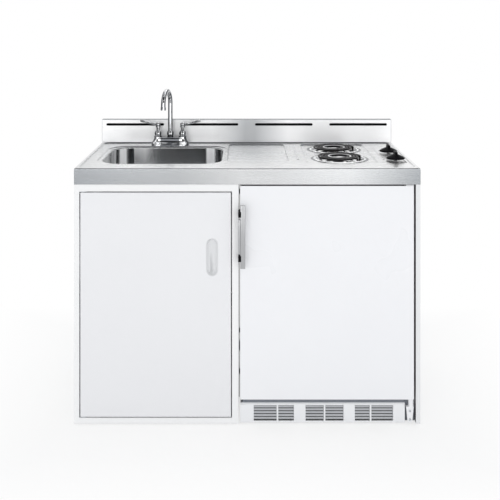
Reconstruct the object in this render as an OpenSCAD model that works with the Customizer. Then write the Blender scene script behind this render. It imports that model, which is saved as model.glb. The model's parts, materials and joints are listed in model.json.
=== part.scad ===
// Kitchenette unit: one pressed steel worktop with sink, drainer and two coil burners,
// standing on a sink cabinet, an under-counter refrigerator and an end panel.
// The front faces -Y, +X is the viewer's right and +Z is up.
// The origin is on the floor, at the middle of the unit's overall width and depth.

/* [Overall] */
// Width of the unit
unit_w = 1216; // [1200:2:1300]
// Depth of the worktop, from its front to the wall
body_d = 610; // [606:1:660]
// Height of the worktop's rim above the floor
counter_h = 902; // [895:1:940]
// Height of the splash above the rim
splash_h = 95; // [70:1:140]
// Thickness of the splash
splash_t = 25; // [15:1:30]
// Length of a vent slot in the splash
vent_slot_len = 242; // [120:1:270]
// Height of a vent slot in the splash
vent_slot_h = 10; // [6:0.5:14]
// Height of the levelling feet under the cabinets
foot_h = 4; // [3:0.5:25]
// Width of the sink cabinet
cabinet_w = 578; // [560:1:600]
// Width of the end panel on the right
end_panel_w = 16; // [12:1:30]

/* [Sheet metal] */
// Thickness of the worktop's steel sheet
sheet_t = 1.5; // [1:0.1:2]
// Thickness of the cabinet's steel sheet
panel_t = 1.5; // [1:0.1:2.5]
// Height of the worktop's apron
apron_h = 58; // [50:1:75]
// Radius of the rolled edge between rim and apron
rolled_r = 6; // [4:0.5:9]
// Width of the flange turned in under the apron
apron_flange_w = 22; // [15:1:35]
// Slope of the pressed steps
step_angle = 45; // [40:1:60]
// Radius of the sheet's roll into the bowl
lip_r = 5; // [4:0.5:7]

/* [Pressings of the worktop] */
// Flat width of the rim at the front and the sides
rim_w = 10; // [8:0.5:14]
// Flat width of the ledge at the back, in front of the wall
rear_ledge_w = 29; // [27:0.5:36]
// Drop from the rim to the deck
deck_drop = 4; // [3:0.1:5]
// Drop from the deck to the tray round the sink
well_drop = 2.5; // [2:0.1:3.5]
// Drop from the deck to the drainer
drainer_drop = 3.5; // [2.5:0.1:5]
// Drop from the deck to the burner tray
burner_drop = 3.5; // [2.5:0.1:5]
// Drop from the deck to the knob tray
knob_drop = 2.5; // [2:0.1:3.5]
// Corner radius of the deck
deck_r = 22; // [15:1:40]
// Corner radius of the smaller trays
tray_r = 14; // [10:1:24]
// Width of the raised beads beside the burners
bead_w = 9; // [6:0.5:14]
// Height of the raised beads beside the burners
bead_h = 1.8; // [1:0.1:3]
// Length of the raised beads beside the burners
bead_len = 290; // [200:1:330]

/* [Sink] */
// Width of the bowl
bowl_w = 444; // [400:1:450]
// Width of the deck in front of the bowl and behind it
bowl_margin = 119; // [118:1:140]
// Height of the bowl under its lip
bowl_h = 150; // [110:1:200]
// Corner radius of the bowl
bowl_r = 80; // [60:1:110]
// Radius between the bowl's wall and floor
bowl_floor_r = 28; // [15:1:45]
// Middle of the bowl, from the unit's left edge
sink_from_left = 291; // [286:1:294]
// Deck between the drainer and the burner tray
drainer_gap = 62.5; // [60:0.5:90]
// Depth of the drainer
drainer_d = 390; // [300:1:398]
// Middle of the drainer, in front of the wall
drainer_from_wall = 260; // [258:1:270]

/* [Waste] */
// Radius of the waste hole in the bowl
waste_hole_r = 45; // [43:0.5:48]
// Width of the waste's flange outside its hole
waste_flange_w = 12; // [8:0.5:16]
// Depth of the waste's cup
waste_cup_h = 42; // [36:1:60]
// Outer radius of the tailpiece
tailpiece_r = 19.05; // [16:0.05:22]
// Length of the tailpiece
tailpiece_len = 60; // [40:1:110]

/* [Faucet] */
// Middle of the faucet, in front of the wall
faucet_from_wall = 65; // [63:1:67]
// Distance between the two valves
valve_spacing = 101.6; // [96:0.1:110]
// Radius of the valve bodies at the deck
valve_base_r = 27.5; // [24:0.5:28.5]
// Height of the bell-shaped valve bodies
valve_h = 33; // [28:1:40]
// Radius of the threaded shanks
shank_r = 10.5; // [9:0.1:12]
// Length of the shanks under the deck
shank_len = 52; // [40:1:80]
// Outer radius of the spout's tube
spout_r = 9.5; // [8:0.1:11]
// Height of the spout above the deck
spout_h = 236; // [190:1:300]
// Radius of the spout's arch
spout_arch_r = 55; // [45:1:75]
// Turn of the spout to the left, as it stands
spout_turn = 10; // [0:1:30]
// Reach of a lever from its valve
lever_len = 73; // [60:1:95]
// Height of a lever's tip above its hub
lever_rise = 15; // [5:1:25]

/* [Hob] */
// Middle of the burners, from the unit's right edge
burner_from_right = 258; // [256:1:260]
// Middle of the rear burner, in front of the wall
burner_from_wall = 174; // [172:1:176]
// Distance between the two burners
burner_spacing = 207; // [206:1:209]
// Outer radius of the drip bowls
drip_bowl_r = 100; // [98:0.5:101.5]
// Depth of the drip bowls under the burner tray
drip_bowl_h = 28; // [26:0.5:32]
// Radius of the heating coil at the middle of its outer turn
coil_r = 79; // [74:0.5:80]
// Radius of the heating coil's tube
coil_tube_r = 3.5; // [3:0.1:4]
// Distance from turn to turn
coil_pitch = 12.5; // [10:0.1:14]
// Turns of the heating coil
coil_turns = 4; // [3:1:4]
// Middle of the knobs, from the unit's right edge
knob_from_right = 55; // [53:1:57]
// Middle of the rear knob, in front of the wall
knob_from_wall = 269; // [255:1:275]
// Distance between the two knobs
knob_spacing = 159; // [140:1:180]
// Radius of the knobs' skirt
knob_r = 34; // [28:0.5:35]
// Width of the knobs' grip
knob_grip_w = 15; // [11:0.5:19]
// Height of the knobs' grip above the skirt
knob_grip_h = 21; // [15:0.5:28]
// Travel of a knob when it is pushed in
knob_push = 3; // [2:0.1:3.5]

/* [Sink cabinet] */
// Width of the face frame's left stile
stile_left_w = 18; // [16:0.5:30]
// Width of the face frame's right stile
stile_right_w = 23.5; // [20:0.5:35]
// Height of the face frame's top rail
rail_top_h = 25; // [20:0.5:40]
// Height of the face frame's bottom rail
rail_bottom_h = 20; // [14:0.5:40]
// Depth of the face frame
frame_d = 20; // [18:1:30]
// Gap round the cabinet door
door_gap = 4; // [3.6:0.1:5]
// Thickness of the cabinet door
door_t = 18; // [17:0.5:22]
// Distance of the door's pivot from its edge and its face
door_pivot_in = 8; // [7:0.5:8.5]
// Width of the recessed pull
pull_w = 42; // [36:1:60]
// Height of the recessed pull
pull_h = 133; // [100:1:180]
// Middle of the pull, from the door's right edge
pull_from_edge = 66; // [50:1:90]
// Middle of the pull above the floor
pull_z = 588; // [500:1:650]

/* [Refrigerator] */
// Gap between the cabinet and the refrigerator's door
fridge_gap_left = 4.5; // [4:0.1:8]
// Gap between the refrigerator's door and the end panel
fridge_gap_right = 5.5; // [5:0.1:9]
// Gap between the refrigerator's door and the apron
fridge_gap_top = 5.5; // [5:0.1:9]
// Height of the refrigerator's door
fridge_door_h = 750; // [700:1:754]
// Thickness of the refrigerator's door panel
fridge_door_t = 40; // [32:1:50]
// Distance of the door's face behind the worktop's front
door_setback = 3; // [1:0.5:8]
// Thickness of the door's seal
gasket_t = 9; // [7:0.5:12]
// Distance of the hinge pin from the door's right edge
hinge_in = 10.5; // [9:0.5:14]
// Distance of the hinge pin behind the door's face
hinge_back = 10; // [9:0.5:11]
// Radius of the hinge pins
hinge_pin_r = 4; // [3:0.1:5]
// Insulated thickness of the refrigerator's walls
fridge_wall = 38; // [30:1:45]
// Space behind the refrigerator's case for the condenser
condenser_space = 45; // [36:1:70]
// Height of the compressor's compartment
machine_h = 245; // [235:1:270]
// Depth of the compressor's compartment
machine_d = 190; // [185:1:220]
// Height of the kick grille
grille_h = 73; // [66:1:78]
// Height of a slot in the kick grille
slot_h = 4.5; // [3:0.1:5.5]
// Distance from slot to slot
slot_pitch = 10; // [8:0.1:10.5]
// Length of the handle
handle_len = 220; // [160:1:400]
// Width of the handle's bar
handle_w = 20; // [14:0.5:26]
// Reach of the handle in front of the door
handle_out = 34; // [28:1:50]
// Thickness of the handle's bar
handle_t = 9; // [6:0.5:14]
// Top of the handle below the door's top edge
handle_down = 66; // [40:1:200]

/* [Hidden] */
$fn = 64;

eps = 0.01;         // overlap of a cut beyond the face that it opens
cut = 1;            // reach of a cut past the sheet it goes through
running = 0.08;     // radial clearance of a shaft in its bearing
seat_gap = 0.3;     // clearance of a piece that lies loose in its seat

// Overall places
overall_d = body_d + handle_out - door_setback;
back_y = overall_d / 2;
front_y = back_y - body_d;
left_x = -unit_w / 2;
right_x = unit_w / 2;
cab_top = counter_h - apron_h;
cab_x1 = left_x + cabinet_w;
end_x0 = right_x - end_panel_w;

// Levels of the pressings
deck_z = counter_h - deck_drop;
well_z = deck_z - well_drop;
drainer_z = deck_z - drainer_drop;
burner_z = deck_z - burner_drop;
knob_z = deck_z - knob_drop;

// Run of a pressed step of a given drop: a flat land, the slope and a second land
step_land = sheet_t;
function step_run(drop) = 2 * step_land + drop / tan(step_angle);

// Floors of the pressed trays
deck_w = unit_w - 2 * (rim_w + step_run(deck_drop));
deck_front = front_y + rim_w + step_run(deck_drop);
deck_back = back_y - rear_ledge_w - step_run(deck_drop);
deck_d = deck_back - deck_front;
deck_y = (deck_front + deck_back) / 2;
bowl_cx = left_x + sink_from_left;
bowl_cy = front_y + body_d / 2;
bowl_d = body_d - 2 * bowl_margin;
well_edge = 9;                                  // flat between the bowl's roll and the tray's step
well_w = bowl_w + 2 * (lip_r + well_edge);
well_d = bowl_d + 2 * (lip_r + well_edge);
burner_x = right_x - burner_from_right;
burner_y = back_y - burner_from_wall;
burner_tray_edge = 15;
burner_tray_w = 2 * (drip_bowl_r + burner_tray_edge) + 20;
burner_tray_d = burner_spacing + 2 * (drip_bowl_r + 8);
burner_cy = burner_y - burner_spacing / 2;
knob_x = right_x - knob_from_right;
knob_y = back_y - knob_from_wall;
knob_tray_w = 56;
knob_tray_d = knob_spacing + 130;
knob_cy = knob_y - knob_spacing / 2;
drainer_x0 = bowl_cx + well_w / 2 + step_run(well_drop) + step_run(drainer_drop) - 0.5;
drainer_x1 = burner_x - burner_tray_w / 2 - step_run(burner_drop) - drainer_gap
             - step_run(drainer_drop);
drainer_w = drainer_x1 - drainer_x0;
drainer_x = (drainer_x0 + drainer_x1) / 2;
drainer_cy = back_y - drainer_from_wall;
bead_x = burner_tray_w / 2 + step_run(burner_drop) + 28;

// Backsplash
vent_slots = 4;
vent_slot_margin = -32;                         // side margin that the slots' spacing leaves out
ledge_slot_w = 12;
vent_slot_down = 21.5;

// Waste and strainer
bowl_floor_z = well_z - lip_r - bowl_h;
waste_r = waste_hole_r - 0.5;
waste_wall = 2;
strainer_seat = 14;
strainer_ledge = 4;
locknut_h = 11;

// Faucet
faucet_y = back_y - faucet_from_wall;
bonnet_r = 14.5;
bonnet_mid = valve_h + 13;
bonnet_top = bonnet_mid + 12;
bonnet_bore_h = 12;
lever_neck_r = 7;
shank_nut_low = sheet_t + 9;                     // underside of the shanks' nuts below the deck
spout_seat = valve_h + 3;
spout_drop = 5;
aerator_h = 12;
arch_z = spout_h - spout_r - spout_arch_r;

// Hob
burner_hole_r = drip_bowl_r - 8;
coil_z = burner_z + 9;                          // middle of the heating coil's tube
coil_low_z = burner_z - 14;                     // middle of the coil's two legs
receptacle_l = 34;
receptacle_w = 44;
receptacle_h = 18;
receptacle_x = 110;                             // pivot of the receptacle beside its burner
receptacle_pin_r = 2.5;
coil_flat = 1.1;                                // flat along the top of the coil's tube
hob_x0 = burner_x - burner_tray_w / 2 - step_run(burner_drop) - 14;
hob_x1 = deck_w / 2 - 1;
hob_margin = 26;                                // sheet box in front of the burner tray
hob_y0 = burner_cy - burner_tray_d / 2 - hob_margin;
hob_y1 = deck_back - 14;
hob_z0 = cab_top + sheet_t + 0.5;
switch_w = 42;
switch_h = 34;
switch_top = knob_z - sheet_t;
chamber_r = 9;
chamber_top = knob_z - 8;
chamber_h = 15;
collar_h = 5;
shaft_r = 3;
shaft_in_knob = 12;
switch_neck_r = 6;
skirt_z = deck_z + knob_push + 2;               // underside of the knob's skirt

// Cabinet
face_y = front_y + door_setback;
side_flange_w = 30;
foot_r = 12;
foot_in = 45;
pipe_opening_w = 320;
pipe_opening_h = 240;
pipe_opening_z = 440;
door_field_in = 40;
door_field_drop = 4;
pull_wall = 1.2;
pull_cup_d = door_t - door_field_drop - sheet_t - pull_wall - seat_gap;
catch_z = 430;
rail_w = 40;
rail_flange = 18;
door_x0 = left_x + stile_left_w + door_gap;
door_x1 = cab_x1 - stile_right_w - door_gap;
door_z0 = foot_h + rail_bottom_h + door_gap;
door_z1 = cab_top - rail_top_h - door_gap;
door_pin_x = door_x0 + door_pivot_in;
door_pin_y = face_y + door_pivot_in;
door_pin_r = 3;
pull_x = door_x1 - pull_from_edge;

// Refrigerator
fd_x0 = cab_x1 + fridge_gap_left;
fd_x1 = end_x0 - fridge_gap_right;
fd_z1 = cab_top - fridge_gap_top;
fd_z0 = fd_z1 - fridge_door_h;
fd_y0 = front_y + door_setback;
fd_y1 = fd_y0 + fridge_door_t;
case_x0 = fd_x0 + 1.5;
case_x1 = fd_x1 - 1.5;
case_y0 = fd_y1 + gasket_t;
case_y1 = back_y - condenser_space;
case_z1 = fd_z1 - 2;
case_z0 = fd_z0 - 6;
case_t = 1.2;
liner_t = 2;
skirt_low = foot_h + 2;
hinge_x = fd_x1 - hinge_in;
hinge_y = fd_y0 + hinge_back;
inner_x0 = case_x0 + fridge_wall + liner_t;
inner_x1 = case_x1 - fridge_wall - liner_t;
inner_z0 = case_z0 + fridge_wall + liner_t;
inner_z1 = case_z1 - fridge_wall - liner_t;
inner_y1 = case_y1 - fridge_wall - liner_t;
machine_y = case_y1 - machine_d;
machine_z = foot_h + machine_h;
hump_y = machine_y - fridge_wall - liner_t;
hump_z = machine_z + fridge_wall + liner_t;
gasket_in = hinge_in;
gasket_w = 13;
dyke_in = 52;                                   // dykes of the door's liner inside its edges
dyke_d = 42;
dyke_w = 22;
door_rack_d = 72;
door_rack_list = [[fd_z0 + dyke_in + dyke_w, 90], [fd_z0 + 330, 70], [fd_z0 + 520, 60]];

// Inside the refrigerator
shelf_y0 = front_y + 132;
shelf_levels = [hump_z + 18, hump_z + 215];
shelf_t = 6;
ledge_w = 8;
ledge_h = 5;
ev_x0 = inner_x0 + 16;
ev_x1 = inner_x1 - 113;
ev_y0 = front_y + 236;
ev_y1 = inner_y1 - 12;
ev_z1 = inner_z1 - 11;
ev_z0 = ev_z1 - 96;
flap_y = ev_y0 - 4.5;
flap_z = ev_z1 - 6;
flap_pin_r = 2;
dial_r = 19;
dial_shaft_r = 3;
dial_x = (ev_x1 + 14 + inner_x1) / 2;
dial_y = ev_y0;
dial_z = inner_z1 - 28;

// Behind and under the refrigerator
compressor_x = case_x0 + 200;
compressor_y = (machine_y + case_y1) / 2;
condenser_y = case_y1 + 12;
condenser_runs = 11;
condenser_pitch = 44;
condenser_wires = 22;

// Kick grille
grille_x0 = fd_x0 + 1;
grille_x1 = hinge_x - 22;
grille_y0 = fd_y0 + 4;
grille_t = 16;
grille_z0 = fd_z0 - 9 - grille_h;
slot_rows = 6;
slot_mid = grille_z0 + grille_h / 2 - 1.8;
// Left end, divider and right end of each group of slots, as shares of the grille's length
slot_groups = [[0.082, 0.226, 0.326], [0.397, 0.5125, 0.6275], [0.6965, 0.792, 0.9285]];
slot_divider = 6;
slot_slant = 25;
hinge_knuckle_h = 26;

// Handle
handle_x0 = fd_x0 - 1.5;
handle_z1 = fd_z1 - handle_down;
mount_h = 19;

// ---------------------------------------------------------------- shapes

// Rounded rectangle about the origin
module rounded_plan(w, d, r) {
  square([w, d - 2 * r], center = true);
  square([w - 2 * r, d], center = true);
  for (x = [-1, 1], y = [-1, 1]) translate([x * (w / 2 - r), y * (d / 2 - r)]) circle(r);
}

// Plate with a rounded plan, its top at z = 0
module rounded_plate(w, d, r, t) {
  translate([0, 0, -t]) linear_extrude(t) rounded_plan(w, d, r);
}

// Straight slot outline with round ends, lying along X
module obround(l, w) {
  square([l - w, w], center = true);
  for (x = [-1, 1]) translate([x * (l - w) / 2, 0]) circle(w / 2);
}

// Quarter of a sheet bend, from the flat above it down to the wall at its left
module quarter_bend(r_out, t) {
  intersection() {
    difference() {
      circle(r_out);
      circle(r_out - t);
    }
    translate([-r_out, 0]) square(r_out);
  }
}

// Sweeps a wall section round a rounded rectangle: x runs outwards from the corner's centre
module swept_round(w, d, r) {
  for (side = [0:3]) {
    reach = (side % 2 == 0 ? w : d) / 2 - r;
    run = (side % 2 == 0 ? d : w) - 2 * r;
    rotate([0, 0, 90 * side]) {
      if (run > 0)
        translate([reach, run / 2, 0]) rotate([90, 0, 0]) linear_extrude(run) children();
      translate([reach, run / 2, 0]) rotate_extrude(angle = 90) children();
    }
  }
}

// Section of the sheet's step from y = 0 down to y = -drop, outwards from x = r
module step_section(r, drop) {
  mitre = sheet_t * tan(step_angle / 2);
  foot = r + step_land;
  head = foot + drop / tan(step_angle);
  polygon([[r, -drop], [foot, -drop], [head, 0], [head + step_land, 0],
           [head + step_land, -sheet_t], [head + mitre, -sheet_t],
           [foot + mitre, -drop - sheet_t], [r, -drop - sheet_t]]);
}

// Outline of a tray's opening in the sheet above it
module tray_mouth(w, d, r, drop) {
  rounded_plan(w + 2 * step_run(drop), d + 2 * step_run(drop), r + step_run(drop));
}

// Pressed step round a tray, its upper level at z = 0
module tray_step(w, d, r, drop) {
  swept_round(w, d, r) step_section(r, drop);
}

// Straight round rod from one point to another, tapered when a second radius is given
module rod(a, b, r, r_end = 0) {
  v = b - a;
  flat = norm([v[0], v[1]]);
  translate(a) rotate([0, atan2(flat, v[2]), atan2(v[1], v[0])])
    cylinder(h = norm(v), r1 = r, r2 = r_end > 0 ? r_end : r);
}

// Turned piece: its half section lies at x > 0, with y up
module turned() {
  rotate_extrude() intersection() {
    children();
    translate([0, -300]) square(600);
  }
}

// Upright bar with a round section
module post(x, y, z0, z1, r) {
  translate([x, y, z0]) cylinder(h = z1 - z0, r = r);
}

// Block between two corners
module block(a, b) {
  translate(a) cube(b - a);
}

// Solid of an outline in Y and Z, extruded from x0 to x1
module along_x(x0, x1) {
  translate([x0, 0, 0]) rotate([90, 0, 90]) linear_extrude(x1 - x0) children();
}

// Solid of an outline in X and Z, extruded from y0 to y1
module along_y(y0, y1) {
  translate([0, y1, 0]) rotate([90, 0, 0]) linear_extrude(y1 - y0) children();
}

// Rectangle with one or two rounded upper corners
module rolled_section(x0, x1, z0, z1, r, both) {
  translate([x0, z0]) square([x1 - x0, z1 - r - z0]);
  translate([x0 + r, z0]) square([x1 - x0 - (both ? 2 : 1) * r, z1 - z0]);
  translate([x0 + r, z1 - r]) circle(r);
  if (both) translate([x1 - r, z1 - r]) circle(r);
}

// Box with rolled top edges at the front and both ends
module rolled_box(x0, x1, y0, y1, z0, z1, r) {
  intersection() {
    along_x(x0, x1) rolled_section(y0, y1, z0, z1, r, false);
    along_y(y0, y1) rolled_section(x0, x1, z0, z1, r, true);
  }
}

// ---------------------------------------------------------------- worktop

module worktop_outline_trays() {
  translate([bowl_cx, bowl_cy]) tray_mouth(well_w, well_d, bowl_r, well_drop);
  translate([drainer_x, drainer_cy]) tray_mouth(drainer_w, drainer_d, tray_r, drainer_drop);
  translate([burner_x, burner_cy]) tray_mouth(burner_tray_w, burner_tray_d, tray_r, burner_drop);
  translate([knob_x, knob_cy]) tray_mouth(knob_tray_w, knob_tray_d, tray_r, knob_drop);
}

// Row of vent slots, evenly spread over the unit's width
module vent_slot_row(w) {
  pitch = (unit_w - vent_slot_margin) / vent_slots;
  for (i = [0:vent_slots - 1]) translate([(i - (vent_slots - 1) / 2) * pitch, 0])
    obround(vent_slot_len, w);
}

module bead() {
  seg_r = (bead_w * bead_w / 4 + bead_h * bead_h) / (2 * bead_h);
  run = bead_len - bead_w;
  translate([0, run / 2, 0]) rotate([90, 0, 0]) linear_extrude(run) intersection() {
    translate([0, bead_h - seg_r]) circle(seg_r);
    translate([-bead_w, 0]) square([2 * bead_w, 2 * bead_h]);
  }
  for (end = [0, 1]) rotate([0, 0, 180 * end]) translate([0, run / 2, 0])
    rotate_extrude(angle = 180) intersection() {
      translate([0, bead_h - seg_r]) circle(seg_r);
      square([2 * bead_w, 2 * bead_h]);
    }
}

module worktop() {
  color("gainsboro") {
    // Rolled rim and apron
    difference() {
      rolled_box(left_x, right_x, front_y, back_y, cab_top, counter_h, rolled_r);
      rolled_box(left_x + sheet_t, right_x - sheet_t, front_y + sheet_t, back_y + cut,
                 cab_top - cut, counter_h - sheet_t, rolled_r - sheet_t);
      translate([0, deck_y, cab_top]) linear_extrude(apron_h + cut)
        tray_mouth(deck_w, deck_d, deck_r, deck_drop);
      translate([0, back_y - splash_t / 2, counter_h - sheet_t - cut])
        linear_extrude(sheet_t + 2 * cut) vent_slot_row(ledge_slot_w);
    }
    // Flange turned in under the apron
    difference() {
      block([left_x + sheet_t, front_y + sheet_t, cab_top],
            [right_x - sheet_t, back_y, cab_top + sheet_t]);
      block([left_x + sheet_t + apron_flange_w, front_y + sheet_t + apron_flange_w, cab_top - cut],
            [right_x - sheet_t - apron_flange_w, back_y + cut, cab_top + sheet_t + cut]);
    }
    // Deck and its step
    translate([0, deck_y, counter_h]) tray_step(deck_w, deck_d, deck_r, deck_drop);
    difference() {
      translate([0, deck_y, deck_z]) rounded_plate(deck_w, deck_d, deck_r, sheet_t);
      translate([0, 0, deck_z - sheet_t - cut]) linear_extrude(sheet_t + 2 * cut)
        worktop_outline_trays();
      for (side = [-1, 1]) post(bowl_cx + side * valve_spacing / 2, faucet_y,
                                deck_z - sheet_t - cut, deck_z + cut, shank_r + 2);
    }
    for (side = [-1, 1]) translate([burner_x + side * bead_x, burner_cy, deck_z]) bead();
    // Tray round the sink, with the roll into the bowl
    translate([bowl_cx, bowl_cy, deck_z]) tray_step(well_w, well_d, bowl_r, well_drop);
    translate([bowl_cx, bowl_cy, well_z - sheet_t]) linear_extrude(sheet_t) difference() {
      rounded_plan(well_w, well_d, bowl_r);
      rounded_plan(bowl_w + 2 * lip_r, bowl_d + 2 * lip_r, bowl_r + lip_r);
    }
    translate([bowl_cx, bowl_cy, well_z]) swept_round(bowl_w, bowl_d, bowl_r)
      translate([bowl_r + lip_r, -lip_r]) quarter_bend(lip_r, sheet_t);
    // Drainer
    translate([drainer_x, drainer_cy, deck_z])
      tray_step(drainer_w, drainer_d, tray_r, drainer_drop);
    translate([drainer_x, drainer_cy, drainer_z])
      rounded_plate(drainer_w, drainer_d, tray_r, sheet_t);
    // Burner tray
    translate([burner_x, burner_cy, deck_z])
      tray_step(burner_tray_w, burner_tray_d, tray_r, burner_drop);
    difference() {
      translate([burner_x, burner_cy, burner_z])
        rounded_plate(burner_tray_w, burner_tray_d, tray_r, sheet_t);
      for (place = [0, 1]) at_burner(place) post(0, 0, -sheet_t - cut, cut, burner_hole_r);
    }
    // Knob tray
    translate([knob_x, knob_cy, deck_z]) tray_step(knob_tray_w, knob_tray_d, tray_r, knob_drop);
    difference() {
      translate([knob_x, knob_cy, knob_z]) rounded_plate(knob_tray_w, knob_tray_d, tray_r, sheet_t);
      for (place = [0, 1]) at_knob(place)
        post(0, 0, knob_z - sheet_t - cut, knob_z + cut, switch_neck_r + seat_gap);
    }
  }
}

// Folded splash with four vent slots near its top
module backsplash() {
  splash_y = back_y - splash_t;
  fold_r = sheet_t + 1.5;
  slot_z = counter_h + splash_h - vent_slot_down;
  color("gainsboro") difference() {
    rolled_box(left_x, right_x, splash_y, back_y, counter_h, counter_h + splash_h, fold_r);
    rolled_box(left_x + sheet_t, right_x - sheet_t, splash_y + sheet_t, back_y - sheet_t,
               counter_h - cut, counter_h + splash_h - sheet_t, fold_r - sheet_t);
    along_y(splash_y - cut, splash_y + sheet_t + cut) translate([0, slot_z])
      vent_slot_row(vent_slot_h);
  }
}

// ---------------------------------------------------------------- sink and waste

module sink_bowl() {
  color("silver") translate([bowl_cx, bowl_cy, well_z - lip_r]) {
    swept_round(bowl_w, bowl_d, bowl_r) {
      translate([bowl_r, bowl_floor_r - bowl_h]) square([sheet_t, bowl_h - bowl_floor_r]);
      translate([bowl_r - bowl_floor_r, bowl_floor_r - bowl_h]) intersection() {
        difference() {
          circle(bowl_floor_r + sheet_t);
          circle(bowl_floor_r);
        }
        translate([0, -bowl_floor_r - sheet_t]) square(bowl_floor_r + sheet_t);
      }
    }
    difference() {
      translate([0, 0, -bowl_h]) rounded_plate(bowl_w - 2 * bowl_floor_r, bowl_d - 2 * bowl_floor_r,
                                               bowl_r - bowl_floor_r, sheet_t);
      post(0, 0, -bowl_h - sheet_t - cut, cut - bowl_h, waste_hole_r);
    }
  }
}

module sink_waste() {
  color("silver") translate([bowl_cx, bowl_cy, bowl_floor_z]) difference() {
    turned() {
      translate([0, 0]) square([waste_hole_r + waste_flange_w, 1.5]);
      translate([0, -waste_cup_h]) square([waste_r, waste_cup_h]);
      translate([0, -waste_cup_h - tailpiece_len]) square([tailpiece_r, tailpiece_len]);
    }
    turned() {
      translate([0, -strainer_seat]) square([waste_r - waste_wall, strainer_seat + 1.5 + cut]);
      translate([0, waste_wall - waste_cup_h])
        square([waste_r - waste_wall - strainer_ledge, waste_cup_h]);
      translate([0, -waste_cup_h - tailpiece_len - cut])
        square([tailpiece_r - waste_wall, tailpiece_len + waste_wall + 2 * cut]);
    }
  }
}

module waste_locknut() {
  color("dimgray") translate([bowl_cx, bowl_cy, bowl_floor_z - sheet_t - locknut_h]) difference() {
    cylinder(h = locknut_h, r = waste_hole_r + waste_flange_w, $fn = 8);
    post(0, 0, -cut, locknut_h + cut, waste_r + running);
  }
}

// Lift-out basket that hangs by its rim on the waste's ledge
module strainer_basket() {
  basket_r = waste_r - waste_wall - strainer_ledge - 2;
  basket_h = waste_cup_h - strainer_seat - 6;
  rim_r = waste_r - waste_wall - seat_gap - 0.3;
  color("lightgray") translate([bowl_cx, bowl_cy, bowl_floor_z - strainer_seat + seat_gap])
    difference() {
      union() {
        turned() {
          square([rim_r, 1.2]);
          translate([0, -basket_h]) square([basket_r, basket_h]);
        }
        post(0, 0, -basket_h, 5, 4);
        post(0, 0, 4, 9, 8);
      }
      difference() {
        post(0, 0, 1.2 - basket_h, 1.2 + cut, basket_r - 1.2);
        post(0, 0, -basket_h, 5, 4);
      }
      for (ring = [[12, 0.45], [18, 0.78]]) for (i = [0:ring[0] - 1])
        rotate(i * 360 / ring[0])
          post(basket_r * ring[1], 0, -basket_h - cut, cut - basket_h + 1.2, 2.2);
    }
}

// ---------------------------------------------------------------- faucet

module bell_valve() {
  neck_r = 15.5;
  flare_r = 30;
  difference() {
    turned() {
      difference() {
        square([valve_base_r, valve_h]);
        translate([neck_r + flare_r, valve_h]) circle(flare_r);
      }
      translate([0, valve_h]) square([neck_r + 1.5, 4]);
      intersection() {
        translate([0, bonnet_mid]) circle(bonnet_r);
        square([bonnet_r, bonnet_top]);
      }
    }
    post(0, 0, bonnet_top - bonnet_bore_h, bonnet_top + cut, lever_neck_r + running);
  }
}

module faucet_body() {
  bridge_h = 31;
  bridge_d = 40;
  color("silver") translate([bowl_cx, faucet_y, deck_z]) difference() {
    union() {
      linear_extrude(3) obround(valve_spacing + 2 * valve_base_r + 1, 2 * valve_base_r + 1);
      for (side = [-1, 1]) translate([side * valve_spacing / 2, 0, 0]) {
        bell_valve();
        post(0, 0, -shank_len, -shank_nut_low - 2, shank_r);
        post(0, 0, -shank_nut_low - 2, -shank_nut_low - 0.5, shank_r - 0.7);
        post(0, 0, -shank_nut_low - 0.5, 1, shank_r);
      }
      along_x(-valve_spacing / 2 + 2, valve_spacing / 2 - 2)
        rolled_section(-bridge_d / 2, bridge_d / 2, 0, bridge_h, 8, true);
      turned() {
        translate([0, bridge_h - 1]) square([13, 6]);
        intersection() {
          translate([0, bonnet_mid]) circle(bonnet_r);
          translate([0, bridge_h]) square([bonnet_r, 2 * bonnet_r]);
        }
      }
    }
    post(0, 0, spout_seat, valve_h + 60, spout_r + running);
    for (side = [-1, 1]) {
      post(side * valve_spacing / 2, 0, -shank_len - cut, -8, shank_r - 3.5);
      post(side * valve_spacing / 2, 0, bonnet_top - bonnet_bore_h, bonnet_top + cut,
           lever_neck_r + running);
    }
  }
}

module faucet_shank_nuts() {
  color("darkgoldenrod") for (side = [-1, 1])
    translate([bowl_cx + side * valve_spacing / 2, faucet_y, deck_z - shank_nut_low])
      difference() {
        cylinder(h = shank_nut_low - sheet_t, r = shank_r + 7, $fn = 6);
        post(0, 0, -cut, shank_nut_low + cut, shank_r + running);
      }
}

// Puts its children at the spout's pivot, turned as the spout stands
module at_spout() {
  translate([bowl_cx, faucet_y, deck_z]) rotate(-spout_turn) children();
}

module spout() {
  color("silver") at_spout() {
    post(0, 0, spout_seat + seat_gap, arch_z, spout_r);
    translate([0, -spout_arch_r, arch_z]) rotate([90, 0, 90])
      rotate_extrude(angle = 180) translate([spout_arch_r, 0]) circle(spout_r);
    post(0, -2 * spout_arch_r, arch_z - spout_drop, arch_z, spout_r);
  }
}

module aerator() {
  color("gray") at_spout() translate([0, -2 * spout_arch_r, arch_z - spout_drop]) difference() {
    turned() {
      translate([0, -aerator_h]) square([spout_r + 1.2, aerator_h]);
    }
    post(0, 0, -aerator_h - cut, -3, spout_r - 2);
  }
}

// Lever handle on its hub, pointing to -X
module lever() {
  hub_z = bonnet_top + 25;
  color("silver") {
    post(0, 0, bonnet_top - bonnet_bore_h + seat_gap, hub_z, lever_neck_r);
    post(0, 0, bonnet_top + 14, hub_z - 6, lever_neck_r + 3);
    translate([0, 0, hub_z]) sphere(10);
    rod([-5, 0, hub_z], [-lever_len + 5, 0, hub_z + lever_rise], 3.8, 5.6);
    translate([-lever_len + 5, 0, hub_z + lever_rise]) sphere(6);
  }
}

module hot_lever() {
  translate([bowl_cx - valve_spacing / 2, faucet_y, deck_z]) lever();
}

module cold_lever() {
  translate([bowl_cx + valve_spacing / 2, faucet_y, deck_z]) rotate(180) lever();
}

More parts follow.
